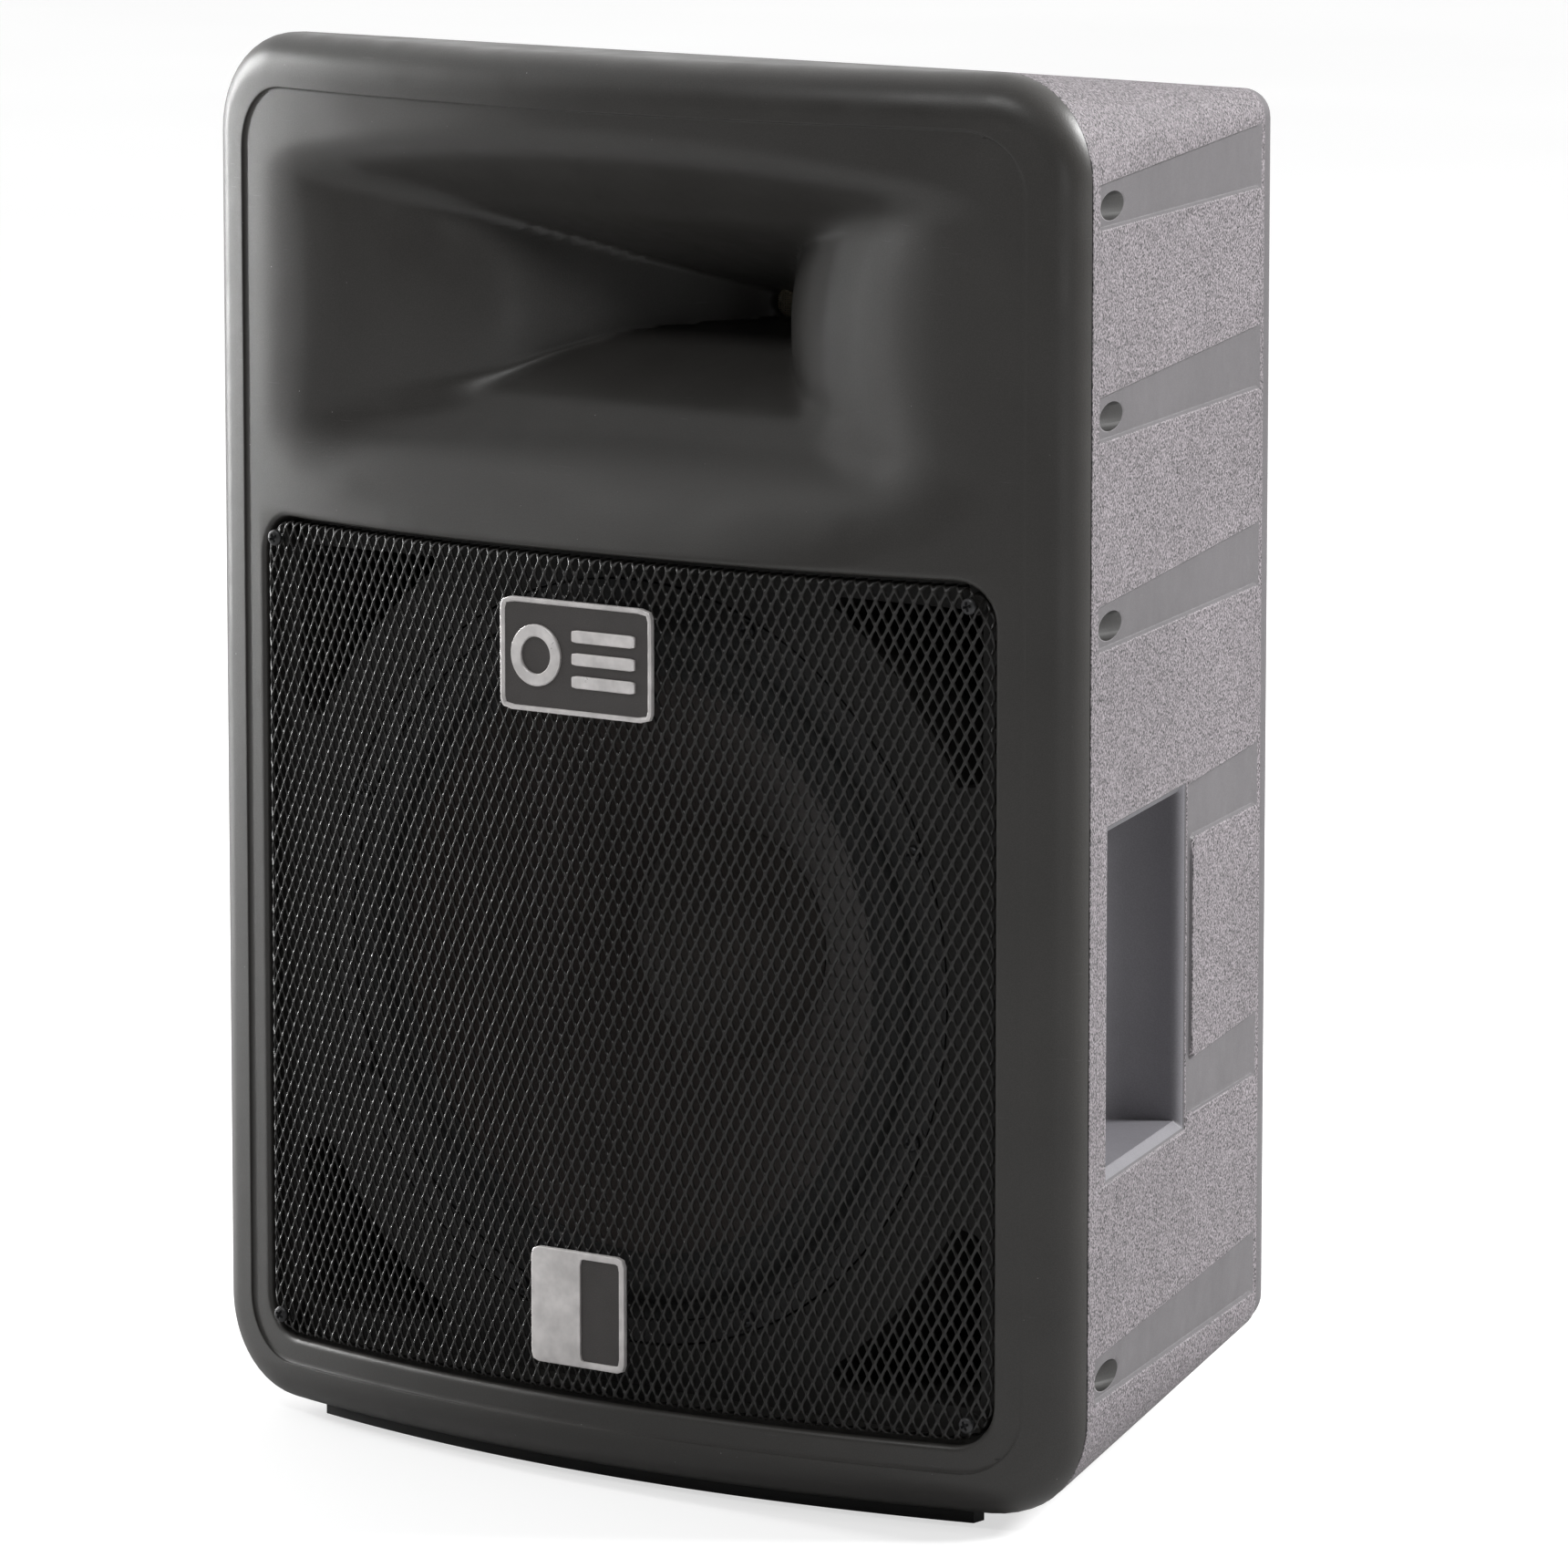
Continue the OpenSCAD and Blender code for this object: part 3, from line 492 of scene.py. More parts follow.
def woven(name, tone, pitch):
    """Cloth with threads that cross along X and Z."""
    s = Shader(name)
    scale = 1000.0 / pitch / 6.28
    wave_x, wave_z = (s.node("ShaderNodeTexWave", Vector=s.position, Scale=scale) for _ in "xz")
    wave_z.bands_direction = "Z"
    weave = s.math("MAXIMUM", wave_x.outputs["Fac"], wave_z.outputs["Fac"])
    color = s.blend(s.ramp(weave, 0.5, 0.95), rgb(0.02, 0.02, 0.02), tone)
    return s.finish(color, 0.6, s.bump(weave, 0.15))


front_plastic = moulded("front_plastic", (0.04, 0.038, 0.0355), 0.55, 0.035, 0.4, dust=0.8, grain_light_shade=0.12)
# a dark copy of the front plastic: painted shade on the baffle behind the grille, its ports and posts, and inside
# the rear shell's wells and recesses
recess_shade_plastic = moulded("recess_shade_plastic", (0.012, 0.011, 0.01), 0.6, 0.04, 0.6, grain_light_shade=0.1)
pebble_plastic = moulded(
    "pebble_plastic", (0.132, 0.118, 0.127), 1.15, 0.3, 0.55, grain_light_shade=0.95, edge=0.8, edge_highlight=0.5
)
# a lighter copy of the side's smooth plastic: painted light in the hand pocket
pocket_lit_plastic = moulded(
    "pocket_lit_plastic", (0.17, 0.165, 0.18), 0.6, 0.03, 0.5, grain_light_shade=0.08, edge=0.8, edge_highlight=0.3
)
smooth_plastic = moulded(
    "smooth_plastic", (0.085, 0.079, 0.084), 0.6, 0.03, 0.5, grain_light_shade=0.15, edge=0.8, edge_highlight=0.35
)
black_coat = metal("black_coat", (0.009, 0.008, 0.007), 0.38, metallic=0.0, grain=0.25, depth=0.03, edge=0)


# ---- front shell ----

# shares of the width and height at which the face's grid has its lines, closest together at the throat
ACROSS = spread(
    [0, 0.075, 0.42, 0.47, 0.53, 0.58, 0.925, 1], [0.009, 0.0058, 0.0045, 0.0028, 0.0045, 0.0058, 0.009]
)
FACE_X = RECESS_X + 4.5
FACE_Z0, FACE_Z1 = RECESS_Z0 - 4.5, STEP[2] - 4.0
BAND_Z = RECESS_Z1 + 4.5
BAND = (BAND_Z - FACE_Z0) / (FACE_Z1 - FACE_Z0)
throat_share = (HORN_Z - FACE_Z0) / (FACE_Z1 - FACE_Z0)
UP = spread(
    [0, 0.06, BAND, throat_share - 0.035, throat_share + 0.035, 0.97, 1],
    [0.008, 0.0085, 0.0042, 0.0022, 0.0042, 0.0045],
)
BAND_ROW = int(np.argmin(abs(UP - BAND)))

# profiles of the horn's side, upper and lower walls, as depth over the place along x or z
SIDE_X = [0, 8, 20, 40, 60, 86, 108, 138, 165, 188, 208, 228, 262]
SIDE_Y = [114, 109.3, 92.9, 64.5, 36.0, 4.5, -8.5, -18.5, -25.0, -29.5, -32.5, -37, -60]
UPPER_Z = [562, 567.8, 573.9, 583.9, 595.2, 611.2, 621.5, 631.1, 650, 690]
UPPER_Y = [114, 109.3, 92.9, 65.6, 38.2, 0, -14.8, -28.7, -54, -95]
LOWER_Z = [425, 456, 492, 508, 527, 545.2, 551.5, 554.2, 562]
LOWER_Y = [-92, -54, -28.7, -14.8, 0, 38.2, 65.6, 109.3, 114]
# the side walls stand further apart towards the upper and lower walls
SIDE_FLARE = 24.0
FLARE_REACH = 70.0
MOUTH_SOFTNESS = 13.0


def smooth_curve(x, xs, ys):
    """A smooth curve through the points: cubics with slopes taken between neighbours."""
    xs, ys = np.array(xs, float), np.array(ys, float)
    slope = np.diff(ys) / np.diff(xs)
    m = np.concatenate([[slope[0]], (slope[:-1] + slope[1:]) / 2, [slope[-1]]])
    flat = np.concatenate([[False], slope[:-1] * slope[1:] <= 0, [False]])
    m[flat] = 0
    i = np.clip(np.searchsorted(xs, x) - 1, 0, len(xs) - 2)
    h = xs[i + 1] - xs[i]
    t = np.clip((x - xs[i]) / h, 0, 1)
    a = 2 * t**3 - 3 * t**2 + 1
    b = t**3 - 2 * t**2 + t
    c = -2 * t**3 + 3 * t**2
    d = t**3 - t**2
    return a * ys[i] + b * h * m[i] + c * ys[i + 1] + d * h * m[i + 1]


def face_y(x, z):
    """The front face with the horn sunk into it, as depth over the front plane."""
    flare = SIDE_FLARE * np.minimum(1.0, ((z - HORN_Z) / FLARE_REACH) ** 2)
    flare = flare * smoothstep(10, 60, np.abs(x)) * (1 - smoothstep(150, 230, np.abs(x)))
    side = smooth_curve(np.abs(x) - flare, SIDE_X, SIDE_Y)
    upper = smooth_curve(z, UPPER_Z, UPPER_Y)
    lower = smooth_curve(z, LOWER_Z, LOWER_Y)
    # each wall counts only on its own side of the throat
    upper = np.where(z < UPPER_Z[0], 200, upper)
    lower = np.where(z > LOWER_Z[-1], 200, lower)
    softness = 3 + 13 * smoothstep(10, 150, np.abs(x))
    walls = soft_min(soft_min(side, upper, softness), lower, softness)
    walls = np.minimum(walls, THROAT_Y - 1)
    plain = bow(x) + STEP_DEPTH
    return soft_max(walls, plain, MOUTH_SOFTNESS)


def on_face(points, behind=0.0):
    """The (x, z) points laid on the front face, or so far behind it."""
    return with_y(points, face_y(points[:, 0], points[:, 1]) + behind)


def roll_rings(count=16):
    """Rings from the seam over the rolled edge, as a ball of ROLL_R rolled between the wall and the bow."""
    center, n = rounded_ring(HALF_W, FLOOR_Z, TOP_Z, CORNER_R, ACROSS, UP, ROLL_R)
    yc = bow(center[:, 0], ROLL_R)
    tilt = center[:, 0] / (BOW_R - ROLL_R)
    start = with_y(n, 0)
    end = np.stack([tilt, -np.sqrt(1 - tilt**2), np.zeros(len(n))], 1)
    turn = np.arccos((start * end).sum(1))
    past_seam = np.clip(yc + SEAM_GAP, 0, None)
    first = np.arcsin(np.clip(past_seam * np.sin(turn) / (ROLL_R * -end[:, 1]), 0, 1)) / turn
    wall = np.clip(-SEAM_GAP - yc, 0, None)
    arc = (1 - first) * turn * ROLL_R
    middle = with_y(center, yc)
    rings = []
    for share in np.linspace(0, 1, count):
        s = share * (wall + arc)
        t = first + np.clip(s - wall, 0, None) / (turn * ROLL_R)
        a = np.sin((1 - t) * turn) / np.sin(turn)
        b = np.sin(t * turn) / np.sin(turn)
        p = middle + ROLL_R * (a[:, None] * start + b[:, None] * end)
        p[:, 1] += np.clip(wall - s, 0, None)
        rings.append(p)
    return rings


def build_front_shell():
    b = Builder()
    rings = roll_rings()
    lip = rings[0].copy()
    shrink = 1 - 4 / HALF_W
    lip[:, 0] *= shrink
    lip[:, 2] = (lip[:, 2] - (TOP_Z + FLOOR_Z) / 2) * shrink + (TOP_Z + FLOOR_Z) / 2
    rings.insert(0, lip)

    # the flat border up to the step, the step, and the inner face as far as the frame of the grid
    outer = rings[-1][:, [0, 2]]
    step = rounded_loop(*STEP, ACROSS, UP)
    for t in (0.35, 0.7, 0.93):
        p = outer * (1 - t) + step * t
        rings.append(with_y(p, bow(p[:, 0])))
    for inset, drop in ((0.0, 0.0), (0.25, 0.1), (0.45, 0.55), (0.65, 1.1), (1.0, STEP_DEPTH)):
        p = rounded_loop(*STEP, ACROSS, UP, inset)
        rings.append(with_y(p, bow(p[:, 0]) + drop))
    near = rounded_loop(*STEP, ACROSS, UP, 1.0)
    frame_loop = rounded_loop(FACE_X, FACE_Z0, FACE_Z1, 0.0, ACROSS, UP)
    rings += [on_face(near * (1 - t) + frame_loop * t) for t in (0.25, 0.5, 0.75, 1.0)]
    b.grid(np.array(rings), wrap=True)
    add_horn_field(b)
    add_throat_collar(b)

    # the rounded edge of the recess and its wall
    lower_up = UP[: BAND_ROW + 1] / UP[BAND_ROW]
    edge_rings = [on_face(rounded_loop(FACE_X, FACE_Z0, BAND_Z, 0.0, ACROSS, lower_up))]
    for a in np.linspace(0, math.pi / 2, 7):
        inset = EDGE_R * (math.sin(a) - 1)
        p = rounded_loop(RECESS_X, RECESS_Z0, RECESS_Z1, RECESS_R, ACROSS, lower_up, inset)
        edge_rings.append(on_face(p, EDGE_R * (1 - math.cos(a))))
    wall_top = edge_rings[-1]
    for t in (0.5, 1.0):
        p = wall_top.copy()
        p[:, 1] = p[:, 1] * (1 - t) + BAFFLE_Y * t
        edge_rings.append(p)
    b.grid(np.array(edge_rings), wrap=True)

    # the baffle with its ports and the woofer seat, in a dark copy of the plastic that paints the shade behind the
    # grille
    seat, inner = (
        np.array([r * np.array([math.cos(a), math.sin(a)]) + (0, WOOFER_Z) for a in angles_of(160)])
        for r in (FRAME_R + 1, CUTOUT_R)
    )
    ports = [port_loop(sx, sz) for sx in (-1, 1) for sz in (-1, 1)]
    painted_shade_from = len(b.faces)
    plate_with_holes(b, edge_rings[-1][:, [0, 2]], [seat] + ports, BAFFLE_Y)
    for loop in ports:
        tube_back(b, loop, [(0, 0), (0.4, 0.25), (0.9, 0.5), (60, 0.5), (80 - BAFFLE_Y, 0.5)], BAFFLE_Y)
    seat_rings = ((seat, BAFFLE_Y), (seat, SEAT_Y), (inner, SEAT_Y), (inner, SEAT_Y + 8))
    b.grid(np.array([with_y(p, y) for p, y in seat_rings]), wrap=True)

    # the posts that the grille screws hold in
    for x0, z0 in GRILLE_SCREWS:
        post = [(5, BAFFLE_Y), (5, -20.0), (4.6, -20.5), (2, -20.5), (2, BAFFLE_Y)]
        b.grid(turned(post, 32, x0, z0), wrap=True)

    b.slots[painted_shade_from:] = [1] * (len(b.faces) - painted_shade_from)
    shell = b.build("front_shell_moulding", front_plastic, recess_shade_plastic)
    weld(shell, 0.002)
    sharpen(shell, 40)
    return shell


def add_horn_field(b):
    """The upper field that holds the horn, open round the throat."""
    x = -FACE_X + 2 * FACE_X * ACROSS
    z = FACE_Z0 + (FACE_Z1 - FACE_Z0) * UP[BAND_ROW:]
    gx, gz = np.meshgrid(x, z)
    keep = (np.hypot(gx, gz - HORN_Z) > THROAT_R + 0.6).reshape(-1)
    start = len(b.verts)
    b.verts += [tuple(p) for p in np.stack([gx, face_y(gx, gz), gz], 2).reshape(-1, 3)]
    kept = [face for face in grid_faces(len(z), len(x), start) if all(keep[i - start] for i in face)]
    b.faces += kept
    b.slots += [0] * len(kept)


def add_throat_collar(b):
    """Rings from the horn's walls into the throat: how much wider than it, how far behind its rim."""
    a = np.array(angles_of(64))
    collar = []
    for wider, behind in ((3.2, None), (1.6, -1.6), (0.4, -0.9), (0.0, -0.2), (0.0, 2.2)):
        r = THROAT_R + wider
        p = np.stack([r * np.cos(a), HORN_Z + r * np.sin(a)], 1)
        ring = on_face(p, 0.35) if wider else with_y(p, THROAT_Y + behind)
        if behind is not None:
            ring[:, 1] = np.minimum(ring[:, 1], THROAT_Y + behind)
        collar.append(ring)
    b.grid(np.array(collar), wrap=True)


def angles_of(count):
    return [2 * math.pi * i / count for i in range(count)]


def turned(profile, count, x0=0.0, z0=0.0):
    """Rings from (radius, y) pairs round an axis along Y."""
    a = np.array(angles_of(count))
    return np.array([np.stack([x0 + r * np.cos(a), y + 0 * a, z0 + r * np.sin(a)], 1) for r, y in profile])


PORT_X, PORT_IN_X = 208.0, 118.0
PORT_Z, PORT_IN_Z = 191.5, 107.5
PORT_ARC_R = 220.0
GRILLE_SCREWS = [(sx * 211.0, (RECESS_Z0 + RECESS_Z1) / 2 + sz * 195.5) for sx in (-1, 1) for sz in (-1, 1)]


def port_loop(sx, sz, corner=7.0):
    """One rounded triangle port: two straight legs in the recess corner and an arc about the woofer."""
    mid = (RECESS_Z0 + RECESS_Z1) / 2
    top = mid + sz * PORT_Z
    end_a = np.array([sx * PORT_IN_X, top])
    end_b = np.array([sx * PORT_X, mid + sz * PORT_IN_Z])
    tip = np.array([sx * PORT_X, top])
    angle_a, angle_b = (math.atan2(end[1] - WOOFER_Z, end[0]) for end in (end_a, end_b))
    a = np.linspace(angle_b, angle_a, 25)[1:-1]
    arc = np.stack([PORT_ARC_R * np.cos(a), WOOFER_Z + PORT_ARC_R * np.sin(a)], 1)
    return round_corners(np.vstack([end_a, tip, end_b, arc]), {0: corner, 1: corner, 2: corner})


def round_corners(loop, radii, steps=6):
    """Replaces the listed corners of a closed loop by arcs."""
    out = []
    n = len(loop)
    for i, p in enumerate(loop):
        if i not in radii:
            out.append(p)
            continue
        before, after = loop[i - 1] - p, loop[(i + 1) % n] - p
        la, lb = np.linalg.norm(before), np.linalg.norm(after)
        u, v = before / la, after / lb
        half = math.acos(np.clip(u @ v, -1, 1)) / 2
        cut = min(radii[i] / math.tan(half), 0.9 * la, 0.9 * lb)
        r = cut * math.tan(half)
        center = p + (u + v) / np.linalg.norm(u + v) * (r / math.sin(half))
        a, b = p + u * cut - center, p + v * cut - center
        for t in np.linspace(0, 1, steps + 1):
            q = a * (1 - t) + b * t
            out.append(center + q / np.linalg.norm(q) * r)
    return np.array(out)


def plate_with_holes(b, outline, holes, y):
    """A flat plate across Y, triangulated round its holes."""
    points, edges = [], []
    for loop in [outline] + holes:
        start = len(points)
        points += [Vector(p) for p in loop]
        edges += [(start + i, start + (i + 1) % len(loop)) for i in range(len(loop))]
    verts, _, faces, *_ = delaunay_2d_cdt(points, edges, [], 2, 1e-6)
    start = len(b.verts)
    b.verts += [(v.x, y, v.y) for v in verts]
    for face in faces:
        center = sum((verts[i] for i in face), Vector((0, 0))) / len(face)
        if not any(point_in(center, hole) for hole in holes):
            b.faces.append(tuple(start + i for i in face))
            b.slots.append(0)


def point_in(p, loop):
    """Whether a point is inside a closed loop."""
    x, y = loop[:, 0], loop[:, 1]
    x2, y2 = np.roll(x, -1), np.roll(y, -1)
    crosses = (y > p[1]) != (y2 > p[1])
    with np.errstate(divide="ignore", invalid="ignore"):
        at = (x2 - x) * (p[1] - y) / (y2 - y) + x
    return bool(np.count_nonzero(crosses & (p[0] < at)) % 2)


def tube_back(b, loop, steps, y):
    """Walls running back from a loop. steps holds (distance back, how far the wall has moved inwards)."""
    center = loop.mean(0)
    rings = []
    for back, inward in steps:
        away = loop - center
        p = loop - away / np.linalg.norm(away, axis=1)[:, None] * inward
        rings.append(with_y(p, y + back))
    b.grid(np.array(rings), wrap=True)


place(build_front_shell(), "front_shell")


# ---- rear shell ----

SIDE_ANGLE = math.atan(SIDE_SLOPE)
# raised pads and the channels between them: thickness, reach along Y, corners, channel heights and middles
PAD_T = 2.0
PAD_START, PAD_END, PAD_R, PAD_START_R = 12.0, 297.0, 9.0, 4.0
CHANNEL_H0, CHANNEL_H1 = 20.0, 31.0
LONG_CHANNELS = [72.8, 432.0, 530.5, 630.0]
SHORT_LOW, SHORT_HIGH = 184.7, 321.5
# the hand pocket; the names with U are distances along the side from the seam
POCKET_Z0, POCKET_Z1 = 165.0, 337.0
POCKET_U0, POCKET_LIP = 29.5, 177.0
POCKET_FLOOR_U, POCKET_DEPTH, LIP_R = 126.0, 55.0, 7.0
GROOVE_END = 187.0
LEG_R = 17.0
WELL_X, WELL_Y, WELL_R = HALF_W - 15.0, 8.0, 6.75
WELL_Z = [71.0, 431.0, 530.0, 629.0]
# grid lines over a raised edge, and over the pocket's sill
EDGE_STEPS = [-1.7, -0.75, -0.3, 0.3, 0.75, 1.7]
SILL_STEPS = [-1.7, -0.75, -0.3, 0.3, 1.2, 2.5, 4.0, 5.0, 5.4, 6.5]
SILL = 5.2
LINE_GAP = 6.0
# points along the top or the bottom of a cross-section, and inside one corner
ROW_N, ARC_N = 57, 7

plate_low, plate_high = node_box("input_plate")
pole_low, pole_high = node_box("pole_socket")
POLE_Y = (pole_low[1] + pole_high[1]) / 2
POLE_R = (pole_high[0] - pole_low[0]) / 2


def side_u(y):
    """Distance along the side from the seam."""
    return y / math.cos(SIDE_ANGLE)


def channel_half(y):
    return (CHANNEL_H0 + (CHANNEL_H1 - CHANNEL_H0) * y / PAD_END) / 2


def pocket_edges(y, start, end):
    """Heights of the pocket's lower and upper edge, which run on behind it as edges of the short channels."""
    half, back = channel_half(y), smoothstep(start, end, y)
    low = POCKET_Z0 * (1 - back) + (SHORT_LOW - half) * back
    return low, POCKET_Z1 * (1 - back) + (SHORT_HIGH + half) * back


def side_lines(y):
    """Heights of the grid lines up one side, as lines x places in y. Groups follow each raised edge."""
    z_start = FLOOR_Z + DRAFT * y + CORNER_R - CORNER_CHANGE * y
    z_end = TOP_Z - DRAFT * y - CORNER_R + CORNER_CHANGE * y
    half = channel_half(y)
    pocket_low, pocket_high = pocket_edges(y, 168, 178)
    channels = [(z + side * half, EDGE_STEPS) for z in LONG_CHANNELS for side in (-1, 1)]
    edges = channels[:2] + [(pocket_low, SILL_STEPS), (SHORT_LOW + half, EDGE_STEPS)]
    edges += [(SHORT_HIGH - half, EDGE_STEPS), (pocket_high, [-v for v in SILL_STEPS[::-1]])] + channels[2:]
    groups = [np.array([edge + step for step in steps]) for edge, steps in edges]
    groups = [np.array([z_start])] + groups + [np.array([z_end])]
    lines = []
    for below, above in zip(groups[:-1], groups[1:]):
        lines += list(below)
        gap = np.max(above[0] - below[-1])
        n = max(1, int(gap / LINE_GAP))
        lines += [below[-1] + (above[0] - below[-1]) * k / n for k in range(1, n)]
    lines.append(z_end)
    return np.array(lines)


def pad_cover(y, z):
    """1 on the raised pads, 0 in the channels and on the rear border."""
    half = channel_half(y)
    pocket_low, pocket_high = pocket_edges(y, 166, 168)
    below = [z - half for z in LONG_CHANNELS] + [2 * TOP_Z]
    above = [-TOP_Z] + [z + half for z in LONG_CHANNELS]
    # each pad as its lower edge, its upper edge and its start along Y
    pads = [(above[0], below[0], -TOP_Z), (above[1], pocket_low, -TOP_Z)]
    pads.append((SHORT_LOW + half, SHORT_HIGH - half, GROOVE_END * math.cos(SIDE_ANGLE)))
    pads.append((pocket_high, below[1], -TOP_Z))
    pads += [(z0, z1, -TOP_Z) for z0, z1 in zip(above[2:], below[2:])]
    inside = np.full_like(z, -TOP_Z)
    for z0, z1, y0 in pads:
        across = np.minimum(z - z0, z1 - z)
        for along, r in ((PAD_END - y, PAD_R), (y - y0, PAD_START_R)):
            qa, qb = np.clip(r - across, 0, None), np.clip(r - along, 0, None)
            both = (qa > 0) & (qb > 0)
            across = np.where(both, r - np.hypot(qa, qb), np.minimum(across, along))
        inside = np.maximum(inside, across)
    cover = smoothstep(-0.7, 0.7, inside)
    return np.maximum(cover, smoothstep(0.7, -0.7, y - PAD_START))


def pocket_depth(y, z):
    """How deep the hand pocket is, measured square to the side."""
    u = side_u(y)
    wall_u = POCKET_LIP - LIP_R
    t = np.clip((u - POCKET_FLOOR_U) / (wall_u - POCKET_FLOOR_U), 0, 1)
    wall = LIP_R + (POCKET_DEPTH - LIP_R) * np.sqrt(1 - t**2)
    lip = LIP_R - np.sqrt(np.clip(LIP_R**2 - np.clip(POCKET_LIP - u, 0, LIP_R) ** 2, 0, None))
    depth = np.where(u < wall_u, np.minimum(POCKET_DEPTH, wall), lip)
    depth = np.where((u < POCKET_U0) | (u > POCKET_LIP), 0, depth)
    above = np.clip(POCKET_Z1 - z, 0, None)
    below = np.clip(z - POCKET_Z0, 0, None)
    sill_low = np.where(below < SILL, below, 1000)
    sill_high = np.where(above < SILL, above * 0.9, 1000)
    return np.minimum(depth, np.minimum(sill_low, sill_high))


def rear_columns():
    """Places along Y of the cross-sections, close together over the pocket's curves and the pads' ends."""
    cosine = math.cos(SIDE_ANGLE)
    pocket = [POCKET_U0 + step for step in (-1.2, -0.3, 0.1, 0.5, 2)]
    pocket += list(np.linspace(POCKET_U0 + 8, POCKET_FLOOR_U, 14))
    wall_u = POCKET_LIP - LIP_R
    angles = np.linspace(0.1, math.pi / 2, 16)
    pocket += [POCKET_FLOOR_U + (wall_u - POCKET_FLOOR_U) * math.sin(a) for a in angles]
    pocket += [POCKET_LIP - LIP_R * math.cos(a) for a in np.linspace(0.15, math.pi / 2, 9)]
    pocket += [POCKET_LIP + 0.8, POCKET_LIP + 1.6]
    over_edge = [-1.6, -0.7, -0.25, 0.25, 0.7, 1.6]
    groove = GROOVE_END * cosine
    y = [SEAM_GAP, SEAM_GAP + 0.5, 3, 6, 9] + [PAD_START + step for step in over_edge] + [17, 22]
    y += [u * cosine for u in pocket]
    y += [groove + step for step in [-4] + over_edge + [2.6, 3.6, 5, 7]]
    y += list(np.linspace(groove + 12, PAD_END - PAD_R - 6, 17))
    y += list(np.linspace(PAD_END - PAD_R - 3, PAD_END - 1.4, 8))
    y += [PAD_END + step for step in over_edge[1:]]
    return np.array(y)


def rear_loop(y, lines):
    """One plain cross-section, before the sides' features are sunk into it."""
    half = HALF_W - SIDE_SLOPE * y
    z0, z1 = FLOOR_Z + DRAFT * y, TOP_Z - DRAFT * y
    r = CORNER_R - CORNER_CHANGE * y
    arc = np.linspace(0, math.pi / 2, ARC_N + 2)[1:-1]
    row = np.linspace(-1, 1, ROW_N) * (half - r)

    def corner(cx, cz, start):
        return np.stack([cx + r * np.cos(start + arc), cz + r * np.sin(start + arc)], 1)

    parts = [
        np.stack([row, z0 + 0 * row], 1),
        corner(half - r, z0 + r, -math.pi / 2),
        np.stack([half + 0 * lines, lines], 1),
        corner(half - r, z1 - r, 0),
        np.stack([-row, z1 + 0 * row], 1),
        corner(-half + r, z1 - r, math.pi / 2),
        np.stack([-half + 0 * lines, lines[::-1]], 1),
        corner(-half + r, z0 + r, math.pi),
    ]
    return np.vstack(parts)


def sunk_side(y, z):
    """Depth of the channels and the pocket along one cross-section, and what each point belongs to.

    The second value is 1 on a pad, 0 in a channel and -1 inside the pocket."""
    y_row = np.full(len(z), y)
    cover = pad_cover(y_row, z)
    sunk = (1 - cover) * PAD_T
    hole = pocket_depth(y_row, z)
    depth = np.where(hole > 0, np.maximum(hole, sunk * (hole > PAD_T)), sunk)
    at_pocket = (z > POCKET_Z0) & (z < POCKET_Z1) & (side_u(y) < POCKET_LIP) & (y > PAD_START)
    depth = np.where(at_pocket & (hole <= 0), 0, depth)
    return depth, np.where(at_pocket, np.where(hole > 0.6, -1.0, 1.0), cover)


def side_ring(y, z, depth, firsts):
    """One cross-section with the sides' features sunk into it, fading out round the corners."""
    ring = with_y(rear_loop(y, z), y)
    fade = np.cos(np.linspace(0, math.pi / 2, ARC_N + 2)[1:-1])
    depth = np.concatenate([depth[0] * fade[::-1], depth, depth[-1] * fade])
    for first, sign, d in zip(firsts, (1, -1), (depth, depth[::-1])):
        rows = slice(first - ARC_N, first + len(z) + ARC_N)
        ring[rows, 0] -= sign * d * math.cos(SIDE_ANGLE)
        ring[rows, 1] -= d * math.sin(SIDE_ANGLE)
    # the edge at the seam is rounded by half a millimetre
    edge_round = 0.5 - math.sqrt(max(0.0, 0.25 - max(0.0, SEAM_GAP + 0.5 - y) ** 2))
    ring[:, 0] *= 1 - edge_round / HALF_W
    return ring


def rear_roll(last, y_last, plain, further, mid_bottom, mid_right, mid_top):
    """Rings from the last cross-section to the flat back: a straight piece, then the roll.

    plain is the last cross-section without its features, further the one 1 mm behind it."""
    tangent = np.roll(plain, -1, 0) - np.roll(plain, 1, 0)
    normal = np.stack([tangent[:, 1], -tangent[:, 0]], 1)
    normal /= np.linalg.norm(normal, axis=1)[:, None]
    rate = further - plain
    lean = np.arctan(-(rate * normal).sum(1))
    y_touch = REAR_Y - REAR_ROLL + REAR_ROLL * np.sin(lean)
    sunk = np.linalg.norm(last[:, [0, 2]] - plain, axis=1)
    rings = []
    for share in (0.35, 0.7, 1.0):
        y = y_last + (y_touch - y_last) * share
        rings.append(with_y(plain + rate * (y - y_last)[:, None] - normal * sunk[:, None], y))
    touch = rings[-1]
    center_y = touch[:, 1] - REAR_ROLL * np.sin(lean)
    # the corners are tighter than the roll, so each ring is the outline scaled to its mid-side points
    low, side, high = touch[mid_bottom, 2], touch[mid_right, 0], touch[mid_top, 2]
    for share in np.linspace(0, 1, 9)[1:]:
        a = lean + (math.pi / 2 - lean) * share
        inward = REAR_ROLL * (np.cos(lean) - np.cos(a))
        x = touch[:, 0] * (side - inward[mid_right]) / side
        new_low, new_high = low + inward[mid_bottom], high - inward[mid_top]
        z = new_low + (touch[:, 2] - low) * (new_high - new_low) / (high - low)
        rings.append(np.stack([x, center_y + REAR_ROLL * np.sin(a), z], 1))
    return rings


